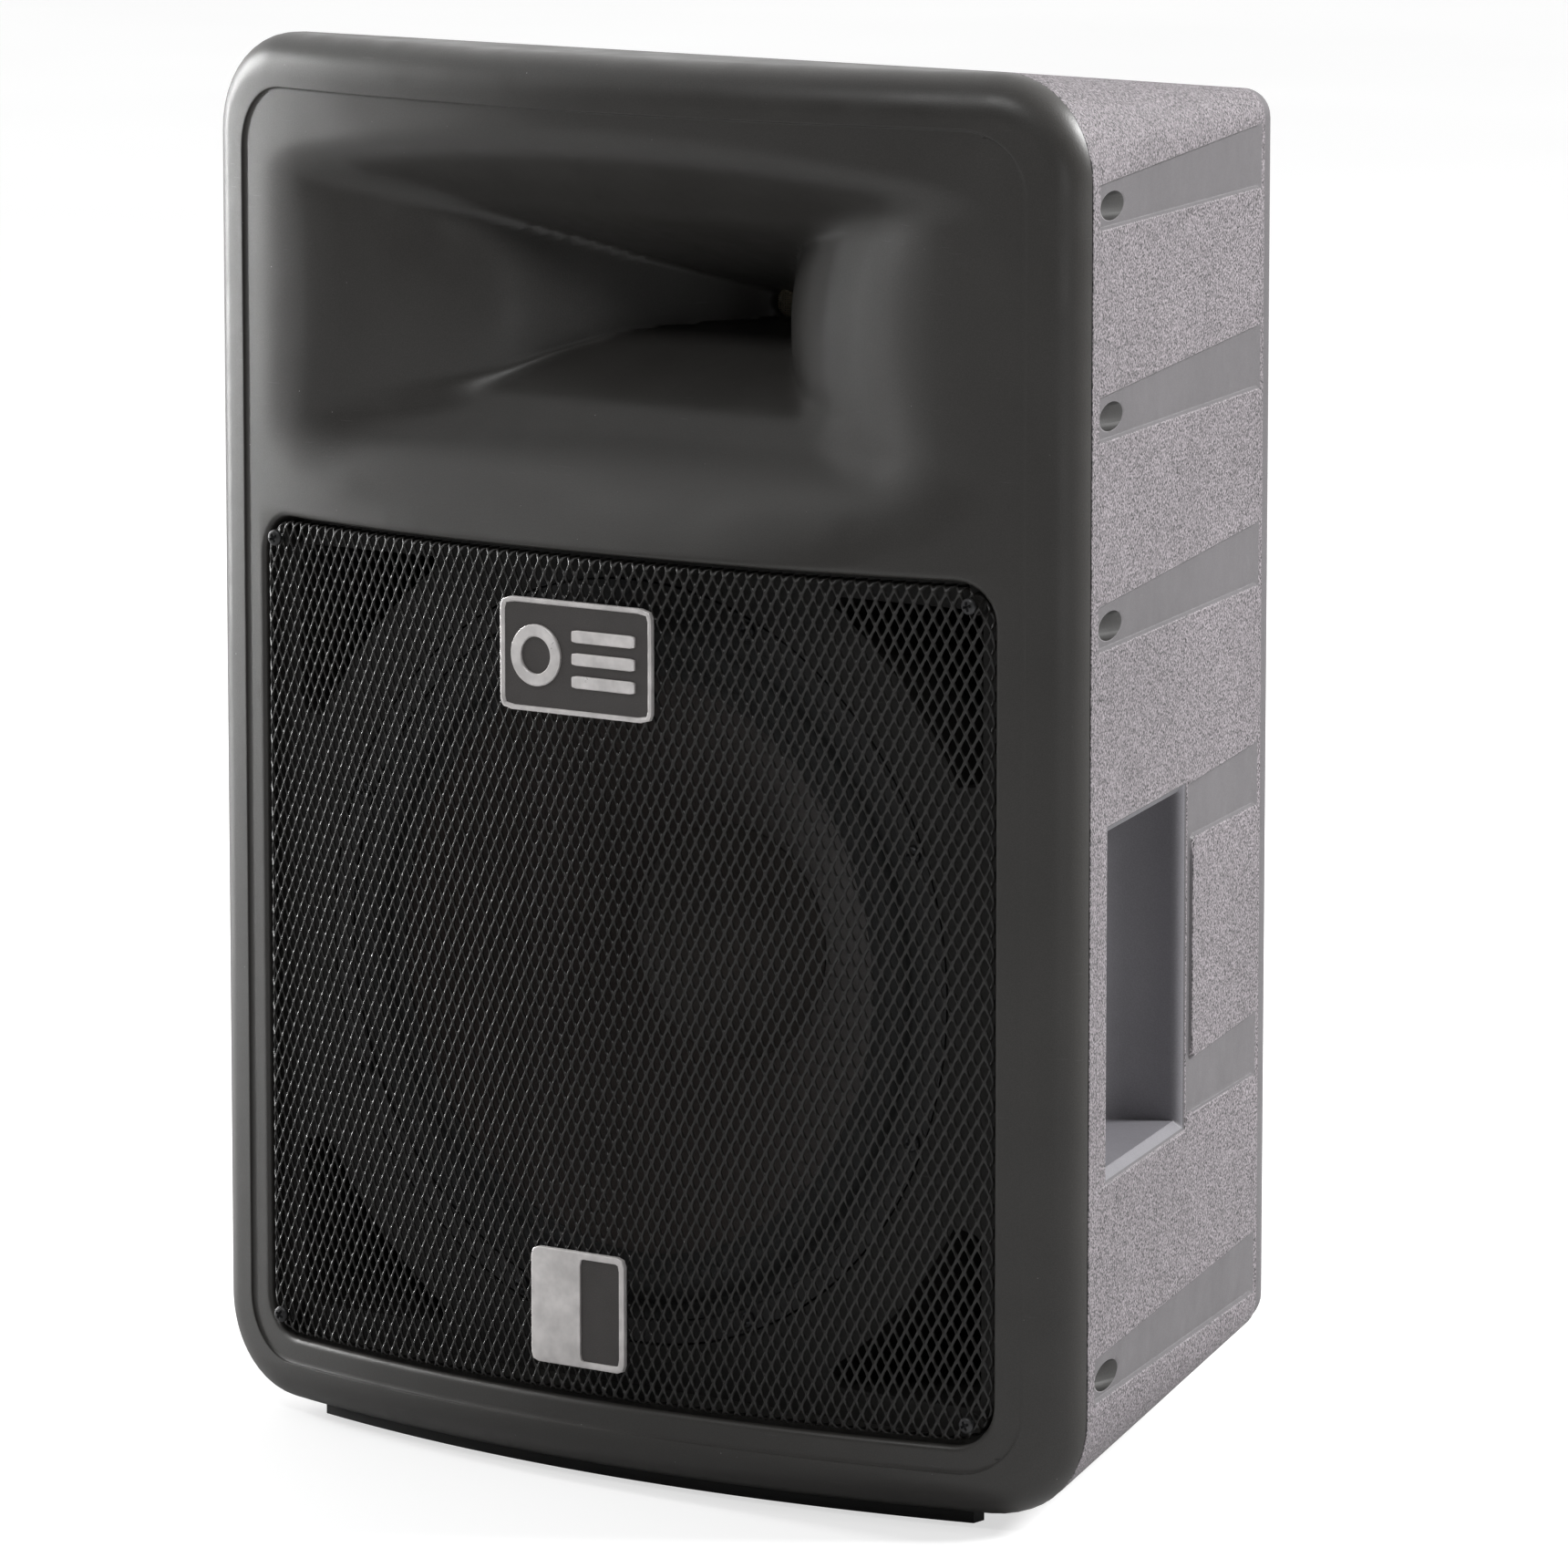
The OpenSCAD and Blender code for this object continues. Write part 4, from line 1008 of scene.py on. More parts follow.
def build_rear_shell():
    y = rear_columns()
    lines = side_lines(np.append(y, y[-1] + 1))
    count = len(lines)
    first_right = ROW_N + ARC_N
    mid_bottom, mid_right = ROW_N // 2, first_right + count // 2
    mid_top = first_right + count + ARC_N + ROW_N // 2
    first_left = first_right + count + 2 * ARC_N + ROW_N
    depths, covers = zip(*(sunk_side(yi, lines[:, i]) for i, yi in enumerate(y)))
    rings = [side_ring(yi, lines[:, i], depths[i], (first_right, first_left)) for i, yi in enumerate(y)]
    plain, further = rear_loop(y[-1], lines[:, -2]), rear_loop(y[-1] + 1, lines[:, -1])
    rings += rear_roll(rings[-1], y[-1], plain, further, mid_bottom, mid_right, mid_top)
    rings = np.array(rings)

    # slots: 0 on pads, 1 in channels and on the back, 3 in the pocket, whose lighter copy of the plastic paints
    # light there
    c = np.array(covers)
    value = (c[:-1, :-1] + c[:-1, 1:] + c[1:, :-1] + c[1:, 1:]) / 4
    side_slots = np.where(value < -0.5, 3, np.where(value > 0.5, 0, 1))
    slots = np.ones((len(rings) - 1, rings.shape[1]), int)
    slots[: len(y)] = 0
    slots[: len(y) - 1, first_right : first_right + count - 1] = side_slots
    slots[: len(y) - 1, first_left : first_left + count - 1] = side_slots[:, ::-1]

    b = Builder()
    b.grid(rings, wrap=True, flip=True, slots=slots.reshape(-1).tolist())
    b.polygon(rings[0], slot=1)
    b.polygon(rings[-1], flip=True, slot=1)
    body = b.build("rear_shell_moulding", pebble_plastic, smooth_plastic, recess_shade_plastic, pocket_lit_plastic)
    weld(body, 0.002)
    outward(body)
    # the cut faces take slot 2, the dark copy that paints shade into the wells and recesses
    cut(body, rear_cutters(), 2)
    open_front(body)
    add_legs(body)
    sharpen(body, 38)
    return body


def closed_tube(b, profile, count, put):
    """A closed turned solid of (radius, distance) along an axis; put places (u, v, distance) in space."""
    rings = [[put(r * math.cos(a), r * math.sin(a), s) for a in angles_of(count)] for r, s in profile]
    b.grid(np.array(rings), wrap=True)
    b.polygon(rings[0], flip=True)
    b.polygon(rings[-1])


# rings of a leg: how much wider than LEG_R, and the height over the feet's top or over the sloping underside
LEG_RINGS = [(-1.0, 0.0, None), (0.0, 1.0, None), (0.0, None, -3.3), (1.2, None, -0.8), (4.0, None, 1.2)]


def add_legs(obj):
    """Joins the two moulded legs over the rear feet to the rear shell."""
    b = Builder()
    a = np.array(angles_of(48))
    for points in islands("rear_feet"):
        x0, y0 = ((points.min(0) + points.max(0)) / 2)[:2]
        rings = []
        for wider, over_foot, over_shell in LEG_RINGS:
            x, y = x0 + (LEG_R + wider) * np.cos(a), y0 + (LEG_R + wider) * np.sin(a)
            z = 0 * a + over_foot if over_shell is None else DRAFT * y + over_shell
            rings.append(np.stack([x, y, FLOOR_Z + z], 1))
        b.grid(np.array(rings), wrap=True, slots=[1] * (len(a) * (len(rings) - 1)))
        b.polygon(rings[0], slot=1)
    legs = b.build("legs", *obj.data.materials[:2])
    outward(legs)
    with editing(obj.data) as bm:
        bm.from_mesh(legs.data)
    bpy.data.objects.remove(legs)


def rear_cutters():
    """The shapes cut out of the rear shell: screw wells, pole socket seat and input plate recess."""
    b = Builder()
    for sx in (-1, 1):
        for z in WELL_Z:
            closed_tube(b, [(WELL_R, WELL_Y), (WELL_R, 120)], 40, lambda u, v, s: (sx * WELL_X + u, s, z + v))
    for count, profile in ((64, [(POLE_R + 0.4, -5), (POLE_R + 0.4, 12.6)]), (48, [(21, 12), (21, 110)])):
        closed_tube(b, profile, count, lambda u, v, s: (u, POLE_Y + v, s))
    cutter = b.build("rear_cutters")
    for wider, depth in ((0.6, 3), (-12, 40)):
        x, z0, z1 = plate_high[0] + wider, plate_low[2] - wider, plate_high[2] + wider
        add_box(cutter, x, REAR_Y - depth, REAR_Y + 6, z0, z1)
    outward(cutter)
    return cutter


def add_box(obj, half_x, y0, y1, z0, z1):
    """Adds a box whose edges along Y are rounded to a mesh."""
    shares = np.linspace(0, 1, 9)
    loop = rounded_loop(half_x, z0, z1, 5.0, shares, shares)
    n = len(loop)
    with editing(obj.data) as bm:
        rows = [[bm.verts.new((p[0] * MM, y * MM, p[1] * MM)) for p in loop] for y in (y0, y1)]
        for i in range(n):
            bm.faces.new((rows[0][i], rows[0][(i + 1) % n], rows[1][(i + 1) % n], rows[1][i]))
        bm.faces.new(rows[0])
        bm.faces.new(rows[1][::-1])


def modified(obj, modifiers):
    """Runs modifiers on an object and keeps their result as its mesh."""
    for kind, settings in modifiers:
        modifier = obj.modifiers.new(kind, kind)
        for key, value in settings.items():
            setattr(modifier, key, value)
    bpy.context.view_layer.update()
    mesh = bpy.data.meshes.new_from_object(obj.evaluated_get(bpy.context.evaluated_depsgraph_get()))
    obj.modifiers.clear()
    obj.data = mesh


def cut(obj, cutter, slot):
    """Cuts one mesh from another and gives the new faces the material in that slot."""
    for material in obj.data.materials:
        cutter.data.materials.append(material)
    for polygon in cutter.data.polygons:
        polygon.material_index = slot
    modified(obj, [("BOOLEAN", {"operation": "DIFFERENCE", "solver": "EXACT", "object": cutter})])
    bpy.data.objects.remove(cutter)


def open_front(obj):
    """Removes the temporary face over the front of the rear shell."""
    with editing(obj.data) as bm:
        front_faces = [f for f in bm.faces if all(abs(v.co.y - SEAM_GAP * MM) < 1e-6 for v in f.verts)]
        bmesh.ops.delete(bm, geom=front_faces, context="FACES")


place(build_rear_shell(), "rear_shell")


# ---- grille ----

MESH_PITCH_X, MESH_PITCH_Z = 6.4, 12.2
GRILLE_X, GRILLE_Z0, GRILLE_Z1 = grille_high[0], grille_low[2], grille_high[2]
GRILLE_R = RECESS_R - GRILLE_GAP
GRILLE_DROP = 1.5
FOLD_R, FOLD_TAIL = 3.0, 5.0


def fold_over(flat, lift):
    """Bends points of the flat sheet over the sheet's rounded border and the bow of the front.

    flat holds (x, z) on the flat sheet, lift how far each point lies behind the front skin."""
    mid = (GRILLE_Z0 + GRILLE_Z1) / 2
    half_x, half_z, r = GRILLE_X - FOLD_R, (GRILLE_Z1 - GRILLE_Z0) / 2 - FOLD_R, GRILLE_R - FOLD_R
    p = flat - (0, mid)
    q = np.abs(p) - (half_x - r, half_z - r)
    corner = np.clip(q, 0, None)
    length = np.linalg.norm(corner, axis=-1)
    out_corner = length - r
    safe = np.maximum(length, 1e-9)
    n = np.sign(p) * corner / safe[..., None]
    d = np.clip(out_corner, 0, None)
    c = p - n * d[..., None]
    turn = np.minimum(d / FOLD_R, math.pi / 2)
    tail = np.clip(d - FOLD_R * math.pi / 2, 0, None)
    reach = FOLD_R - lift
    out = reach * np.sin(turn)
    back = FOLD_R - reach * np.cos(turn) + tail
    xz = c + n * out[..., None]
    y = bow(xz[..., 0]) + GRILLE_DROP + back
    return np.stack([xz[..., 0], y, xz[..., 1] + mid], -1)


# how far the strands reach into the diamonds, and how far crest, edge and back lie behind the front skin
STRAND_TIP, STRAND_WAIST, STRAND_SIDE = 1.55, 0.85, 0.4
STRAND_LIFTS = (0.0, 0.4, 1.15)
# the last openings of the mesh stop this far before the end of the folded edge
PLAIN_EDGE = 2.4


def diamond(tip, waist, shoulder):
    """Eight points round a diamond, clockwise from its upper tip."""
    x, z = shoulder
    return np.array([(0, tip), (x, z), (waist, 0), (x, -z), (0, -tip), (-x, -z), (-waist, 0), (-x, z)])


def build_grille():
    """The expanded mesh as one strand ring round every diamond opening, folded back at the edge."""
    half_x = GRILLE_X + 3
    mid = (GRILLE_Z0 + GRILLE_Z1) / 2
    half_z = (GRILLE_Z1 - GRILLE_Z0) / 2 + 3
    centers = []
    nx, nz = int(half_x / MESH_PITCH_X) + 1, int(half_z / MESH_PITCH_Z) + 1
    for i in range(-nx, nx + 1):
        for k in range(-nz, nz + 1):
            centers.append((i * MESH_PITCH_X, mid + k * MESH_PITCH_Z))
            centers.append(((i + 0.5) * MESH_PITCH_X, mid + (k + 0.5) * MESH_PITCH_Z))
    centers = np.array(centers)
    reach = FOLD_R * math.pi / 2 - FOLD_R + FOLD_TAIL - PLAIN_EDGE
    q = np.abs(centers - (0, mid)) - (GRILLE_X - GRILLE_R, (GRILLE_Z1 - GRILLE_Z0) / 2 - GRILLE_R)
    beyond = np.linalg.norm(np.clip(q, 0, None), axis=1) + np.minimum(q.max(1), 0) - GRILLE_R
    centers = centers[beyond < reach]
    hx, hz = MESH_PITCH_X / 2, MESH_PITCH_Z / 2
    crest = diamond(hz, hx, (hx / 2, hz / 2))
    hole = diamond(hz - STRAND_TIP, hx - STRAND_WAIST, (hx / 2 - STRAND_SIDE, hz / 2 - STRAND_SIDE))
    layers = []
    for outline, lift in zip((crest, hole, hole), STRAND_LIFTS):
        flat = centers[:, None, :] + outline[None]
        layers.append(fold_over(flat, np.full(flat.shape[:2], lift)))
    verts = np.stack(layers, 1).reshape(-1, 3)
    faces = []
    for cell in range(len(centers)):
        start = cell * 24
        for ring in (0, 8):
            for j in range(8):
                a, c = start + ring + j, start + ring + (j + 1) % 8
                faces.append((a, c, c + 8, a + 8))
    mesh = mesh_object("grille_sheet", verts, faces, black_coat, merge=0.01)
    sharpen(mesh, 60)
    return mesh


place(build_grille(), "grille")


# ---- finishes of the record's material slots ----


def wound(name, tone, pitch):
    """Enamelled wire wound round an axis along Y: fine ridges with painted shade in the grooves between them, and
    a slow change of tone.
    """
    s = Shader(name)
    wave = s.node("ShaderNodeTexWave", Vector=s.position, Scale=1000.0 / pitch / 20)
    wave.bands_direction = "Y"
    # painted shade: the tone falls to about half in the grooves between the windings
    groove_shade = s.ramp(wave.outputs["Fac"], 0, 1, 0.55, 1.0)
    cloud = s.ramp(s.noise(9, 3), 0.3, 0.7, 0.85, 1.1)
    color = s.scaled(tone, s.math("MULTIPLY", groove_shade, cloud))
    return s.finish(color, 0.32, s.bump(wave.outputs["Fac"], 0.12), 0.85)


def speckled(name, tone, other, size, amount, rough, coat=0.0, edge=0.3):
    """A body colour with fine flecks of a second one, for board lacquer, ferrite, ceramic and wrap."""
    s = Shader(name)
    flecks = s.ramp(s.noise(size, 4, 0.7), 0.5, 0.66, 0, amount)
    cloud = s.ramp(s.noise(40, 2), 0.3, 0.7, 0.88, 1.08)
    color = s.blend(flecks, s.scaled(tone, cloud), rgb(*other))
    roughness = s.ramp(s.noise(8, 3), 0.3, 0.7, rough - 0.06, rough + 0.08)
    normal = s.bump(s.noise(size, 3), 0.03, 1.0, s.rounded(edge))
    return s.finish(color, roughness, normal, Coat_Weight=coat)


steel_bright = metal("steel_bright", (0.58, 0.58, 0.6), 0.3, grain=0.5, depth=0.01, edge=0.12)
silver = metal("silver", (0.78, 0.75, 0.74), 0.36, metallic=0.35, grain=0.35, depth=0.012, edge=0.15)
badge_dark = speckled("badge_dark", (0.055, 0.05, 0.048), (0.11, 0.1, 0.1), 0.5, 0.6, 0.55, edge=0.1)
rubber = soft("rubber", (0.013, 0.013, 0.013), 0.6, 0.06, 0.75, edge=0.4)

LOOKS = {
    "front_plastic": front_plastic,
    "rear_plastic": pebble_plastic,
    "black_rubber": rubber,
    "dark_screw": metal("dark_screw", (0.06, 0.06, 0.062), 0.42, 0.7, 0.4, 0.015, 0.12),
    "grille_steel": black_coat,
    "plated_screw": steel_bright,
    "badge_metal": silver,
    "emblem_metal": metal("emblem_metal", (0.84, 0.81, 0.8), 0.34, 0.35, 0.35, 0.012, 0.15),
    "cast_frame": metal("cast_frame", (0.014, 0.013, 0.013), 0.5, 0.0, 0.9, 0.08, 0.5),
    "cone_paper": soft("cone_paper", (0.02, 0.013, 0.011), 0.9, 0.14, 0.78, sheen=0.15),
    "cap_paper": soft("cap_paper", (0.024, 0.018, 0.015), 0.7, 0.1, 0.72, sheen=0.15),
    "copper_wire": wound("copper_wire", (0.62, 0.27, 0.12), 0.6),
    "spider_cloth": woven("spider_cloth", rgb(0.42, 0.3, 0.13), 0.9),
    "zinc_steel": metal("zinc_steel", (0.48, 0.47, 0.43), 0.36, 1.0, 0.8, 0.02, 0.6, (1, 12, 1)),
    "ferrite": speckled("ferrite", (0.045, 0.045, 0.05), (0.12, 0.12, 0.12), 1.2, 0.35, 0.62, edge=0.9),
    "terminal_plastic": moulded("terminal_plastic", (0.25, 0.03, 0.02), 0.5, 0.02, 0.35, grain_light_shade=0.06, edge=0.4),
    "screen_mesh": metal("screen_mesh", (0.62, 0.55, 0.42), 0.3, 1.0, 0.3, 0.005, 0),
    "plug_plastic": moulded("plug_plastic", (0.028, 0.028, 0.029), 0.5, 0.02, 0.42, grain_light_shade=0.08, edge=0.4),
    "dome_metal": metal("dome_metal", (0.72, 0.72, 0.74), 0.28, 1.0, 0.5, 0.01, 0, (1, 6, 1)),
    "board": speckled("board", (0.012, 0.1, 0.035), (0.05, 0.2, 0.08), 0.7, 0.5, 0.32, 0.4),
    "capacitor_film": speckled("capacitor_film", (0.55, 0.42, 0.05), (0.7, 0.6, 0.2), 1.5, 0.4, 0.3, 0.5, 0.8),
    "resistor_ceramic": speckled("resistor_ceramic", (0.68, 0.66, 0.6), (0.4, 0.38, 0.34), 0.6, 0.5, 0.75, 0, 0.8),
    "plate_paint": metal("plate_paint", (0.022, 0.022, 0.023), 0.46, 0.0, 0.7, 0.07, 0.4),
    "red_cable": soft("red_cable", (0.3, 0.018, 0.015), 0.5, 0.02, 0.45),
    "blue_cable": soft("blue_cable", (0.015, 0.04, 0.26), 0.5, 0.02, 0.45),
    "black_cable": soft("black_cable", (0.02, 0.02, 0.02), 0.5, 0.02, 0.45),
    "wadding": soft("wadding", (0.6, 0.56, 0.46), 1.6, 1.2, 0.95, sheen=0.5),
    "socket_plastic": moulded("socket_plastic", (0.024, 0.024, 0.025), 0.8, 0.05, 0.5, grain_light_shade=0.12, edge=0.6),
    "foot_rubber": rubber,
}


# ---- screws ----


def measure_screw(points):
    """Axis number, axis place, head radius, head seat, crown, shaft radius and tip of a plain screw."""
    low, high = points.min(0), points.max(0)
    axis = int(np.argmax(high - low))
    across = [i for i in range(3) if i != axis]
    center = (low + high) / 2
    radial = np.linalg.norm(points[:, across] - center[across], axis=1)
    head = points[radial > 0.9 * radial.max(), axis]
    outside = (points[:, axis] < head.min() - 0.01) | (points[:, axis] > head.max() + 0.01)
    shaft = radial[outside].max()
    if low[axis] < head.min() - 0.01:
        seat, crown, tip = head.min(), head.max(), low[axis]
    else:
        seat, crown, tip = head.max(), head.min(), high[axis]
    return axis, center, radial.max(), seat, crown, shaft, tip


def screw_shape(head_r, seat, crown, shaft_r, tip):
    """One cross-head screw along its own axis: rows of (u, v, along), as (points, faces)."""
    b = Builder()
    up = math.copysign(1.0, crown - seat)
    height = abs(crown - seat)
    arm, slot = 0.56 * head_r, 0.13 * head_r
    t = np.array([0.12, 0.19, 0.36, 0.52, 0.6, 0.74, 0.9, 1])
    t = np.concatenate([-t[::-1], [0], t])
    a, c = np.meshgrid(t, t)
    u, v = head_r * a * np.sqrt(1 - c**2 / 2), head_r * c * np.sqrt(1 - a**2 / 2)
    r = np.hypot(u, v) / head_r
    dome = height * (0.42 + 0.58 * np.sqrt(np.clip(1 - r**2.6, 0, 1)))
    arms = np.maximum(np.minimum(slot - abs(u), arm - abs(v)), np.minimum(slot - abs(v), arm - abs(u)))
    sunk = smoothstep(-0.06 * head_r, 0.06 * head_r, arms) * (0.75 * height - 0.45 * height * r)
    b.grid(np.stack([u, v, seat + up * (dome - sunk)], 2))
    profile = [(head_r, 0.42 * height), (head_r, 0.06 * height), (0.97 * head_r, 0.0), (shaft_r, 0.0)]
    # the thread, as rings about 1.1 mm apart
    length = abs(tip - seat)
    turns = max(3, int(length / 1.1))
    step = 0.87 * length / turns
    for k in range(turns):
        z = -length * (0.05 + 0.87 * k / turns)
        profile += [(shaft_r, z), (0.8 * shaft_r, z - 0.5 * step)]
    profile += [(0.8 * shaft_r, -0.93 * length), (0.25 * shaft_r, -length)]
    g = np.array(angles_of(40))
    rings = [np.stack([q * np.cos(g), q * np.sin(g), seat + up * z + 0 * g], 1) for q, z in profile]
    b.grid(np.array(rings), wrap=True)
    b.polygon(rings[-1])
    return np.array(b.verts), b.faces


def build_screws(node, slot):
    """Cross-head screws in place of a node's plain ones, each turned a different amount."""
    verts, faces = [], []
    for points in islands(node):
        axis, center, *sizes = measure_screw(points)
        shape, shape_faces = screw_shape(*sizes)
        turn = rng.uniform(0, math.pi)
        u = shape[:, 0] * math.cos(turn) - shape[:, 1] * math.sin(turn)
        v = shape[:, 0] * math.sin(turn) + shape[:, 1] * math.cos(turn)
        out = np.zeros_like(shape)
        across = [i for i in range(3) if i != axis]
        out[:, across[0]] = center[across[0]] + u
        out[:, across[1]] = center[across[1]] + v
        out[:, axis] = shape[:, 2]
        start = len(verts)
        verts += [tuple(p) for p in out]
        faces += [tuple(start + i for i in face) for face in shape_faces]
    obj = mesh_object(f"{node}_cross_head", verts, faces, LOOKS[slot], merge=0.004)
    outward(obj)
    sharpen(obj, 35)
    place(obj, node, slot)


build_screws("grille_screws", "dark_screw")
for where in ("woofer", "shell", "input_plate", "socket", "pole_socket", "foot", "hf_cover", "crossover"):
    build_screws(f"{where}_screws", SLOT_OF[f"{where}_screws"])


# ---- badges ----

# rings of a badge's edge: how far inside its outline, and how far behind its front
BADGE_STEPS = [(0.5, 3.0), (0.0, 2.5), (0.0, 0.8), (0.15, 0.35), (0.45, 0.1), (0.9, 0.0)]
SIDE_STEPS = np.linspace(0, 1, 17)


def badge_pins(b, node, y):
    """The pins on a badge's back, where the push-on nuts sit."""
    low, high = node_box(node)
    for points in islands("badge_nuts"):
        center = (points.min(0) + points.max(0)) / 2
        if low[2] < center[2] < high[2]:
            profile = [(1.3, y), (1.3, high[1] - 0.5), (0.8, high[1])]
            b.grid(turned(profile, 20, center[0], center[2]), wrap=True)
            b.polygon(turned([(0.8, high[1])], 20, center[0], center[2])[0])


def badge_body(node, corner):
    """The rounded block of a badge up to its front face, as (builder, front loop, front y)."""
    low, high = node_box(node)
    b = Builder()
    rings = []
    for inset, depth in BADGE_STEPS:
        x, z0, z1, r = high[0] - inset, low[2] + inset, high[2] - inset, corner - inset * 0.8
        rings.append(with_y(rounded_loop(x, z0, z1, r, SIDE_STEPS, SIDE_STEPS), low[1] + depth))
    b.grid(np.array(rings), wrap=True)
    b.polygon(rings[0])
    badge_pins(b, node, low[1] + 3.0)
    return b, rings[-1][:, [0, 2]], low[1]


def build_name_badge():
    b, front_loop, y = badge_body("name_badge", 5.0)
    low, high = node_box("name_badge")
    rings = [with_y(front_loop, y)]
    for inset, depth in ((1.5, 0.0), (1.9, 0.12), (2.3, 0.5), (2.5, 0.95), (2.55, 1.0)):
        p = rounded_loop(high[0], low[2], high[2], 5.5, SIDE_STEPS, SIDE_STEPS, inset)
        rings.append(with_y(p, y + depth))
    b.grid(np.array(rings), wrap=True)
    b.polygon(rings[-1], slot=1)
    return b


def build_model_badge():
    b, front_loop, y = badge_body("model_badge", 4.0)
    low, high = node_box("model_badge")
    mid = (low[2] + high[2]) / 2
    p = rounded_loop(12.1, mid - 25.4, mid + 25.4, 2.2, SIDE_STEPS, SIDE_STEPS)
    window = p + (13.6, 0)
    plate_with_holes(b, front_loop, [window], y)
    rings = []
    for inset, depth in ((0.0, 0.0), (0.1, 0.12), (0.15, 1.0)):
        rings.append(with_y(window - (window - window.mean(0)) * (inset / 12.0), y + depth))
    b.grid(np.array(rings), wrap=True)
    b.polygon(rings[-1], slot=1)
    return b


def build_emblem():
    """A ring beside three bars, each with chamfered upper edges."""
    low, high = node_box("name_emblem")
    mid = (low[2] + high[2]) / 2
    b = Builder()
    r = (high[2] - low[2]) / 2
    y = low[1]
    ring = [(r, high[1]), (r, y + 0.5), (r - 0.5, y), (9.5, y), (9.0, y + 0.5), (9.0, high[1])]
    b.grid(turned(ring, 72, low[0] + r, mid), wrap=True)
    bar_start = low[0] + 2 * r + 7
    for k in (-1, 0, 1):
        rings = []
        for inset, y in ((0.0, high[1]), (0.0, low[1] + 0.5), (0.5, low[1])):
            half, z = (high[0] - bar_start) / 2, mid + 11 * k
            p = rounded_loop(half, z - 3, z + 3, 1.4, SIDE_STEPS, SIDE_STEPS, inset)
            rings.append(with_y(p + (bar_start + half, 0), y))
        b.grid(np.array(rings), wrap=True)
        b.polygon(rings[-1])
    return b


for badge_node, builder, name, *looks in (
    ("name_badge", build_name_badge(), "name_badge_plate", silver, badge_dark),
    ("model_badge", build_model_badge(), "model_badge_plate", silver, badge_dark),
    ("name_emblem", build_emblem(), "name_emblem_ring_and_bars", LOOKS["emblem_metal"]),
):
    badge = builder.build(name, *looks, merge=0.002)
    outward(badge)
    sharpen(badge, 30)
    place(badge, badge_node)


# ---- soft rings and leads between a moving and a fixed part ----


def flex_ring(node, profile, sectors, z0, steps=8):
    """A soft ring turned from a closed (radius, y) profile, cut into sectors."""
    half = math.pi / sectors
    loop = np.array(profile + profile[:1], float)
    for k in range(sectors):
        mid = 2 * math.pi * k / sectors
        a = np.linspace(mid - half, mid + half, steps + 1)
        r = loop[:, :1]
        points = np.stack([r * np.cos(a), loop[:, 1:] + 0 * a, z0 + r * np.sin(a)], 2)
        b = Builder()
        b.grid(points)
        piece = mesh_object(f"{node}_sector_{k + 1:02d}", b.verts, b.faces, LOOKS[SLOT_OF[node]])
        outward(piece)
        sharpen(piece, 50)
        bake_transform(piece)
        stand_for(node)


def arc_points(r0, y0, r, start, end, count):
    """Points on an arc bulging forward, between two angles in degrees."""
    angles = np.radians(np.linspace(start, end, count))
    return [(r0 + r * math.cos(g), y0 - r * math.sin(g)) for g in angles]


surround_profile = [(143, -10), (150, -10)] + arc_points(159, -10, 8, 172, 8, 15) + [(168, -10), (175.5, -10)]
surround_profile += [(175.5, -9), (166.4, -9)] + arc_points(159, -10, 7, 4, 176, 13)
surround_profile += [(151.6, -9), (143, -9)]
flex_ring("woofer_surround", surround_profile, 16, WOOFER_Z)

SPIDER_IN = 51.0
wave_r = np.linspace(SPIDER_IN + 2, 86, 49)
wave_y = 83.2 + 0.75 * np.sin(np.linspace(0, 6 * math.pi, 49))
spider_profile = [(SPIDER_IN, 82.9)] + list(zip(wave_r, wave_y)) + [(95, 83.2), (95, 83.8)]
spider_profile += list(zip(wave_r[::-1], wave_y[::-1] + 0.6)) + [(SPIDER_IN, 83.5)]
flex_ring("woofer_spider", spider_profile, 12, WOOFER_Z)

suspension_profile = [(18.1, 152.45), (19.2, 152.45), (20.2, 152.25)]
suspension_profile += [(21.2, 152.45), (22.2, 152.65), (24, 152.45)]
suspension_profile += [(r, y + 0.2) for r, y in suspension_profile[::-1]]
flex_ring("hf_suspension", suspension_profile, 12, HORN_Z)


def tube(b, path, radius, sides=12, lobes=0, twist=0.0):
    """A round cable along a path of points; lobes and twist give it strands."""
    path = np.array(path, float)
    tangent = np.gradient(path, axis=0)
    tangent /= np.linalg.norm(tangent, axis=1)[:, None]
    length = np.concatenate([[0], np.cumsum(np.linalg.norm(np.diff(path, axis=0), axis=1))])
    side = np.cross(tangent, (1.0, 0.0, 0.0))
    side /= np.linalg.norm(side, axis=1)[:, None]
    other = np.cross(tangent, side)
    rings = []
    for p, s, o, d in zip(path, side, other, length):
        ring = []
        for g in angles_of(sides):
            q = radius * (1 - 0.14 * (1 - math.cos(lobes * (g - twist * d)))) if lobes else radius
            ring.append(p + q * (math.cos(g) * s + math.sin(g) * o))
        rings.append(ring)
    b.grid(np.array(rings), wrap=True)
    b.polygon(rings[0])
    b.polygon(rings[-1])


def curve_through(knots, count):
    """A smooth path through a few knots (Catmull-Rom)."""
    k = np.array([knots[0]] + list(knots) + [knots[-1]], float)
    out = []
    for i in range(1, len(k) - 2):
        for t in np.linspace(0, 1, count, endpoint=i == len(k) - 3):
            linear = (k[i + 1] - k[i - 1]) * t
            square = (2 * k[i - 1] - 5 * k[i] + 4 * k[i + 1] - k[i + 2]) * t**2
            cube = (3 * k[i] - k[i - 1] - 3 * k[i + 1] + k[i + 2]) * t**3
            out.append(0.5 * (2 * k[i] + linear + square + cube))
    return out


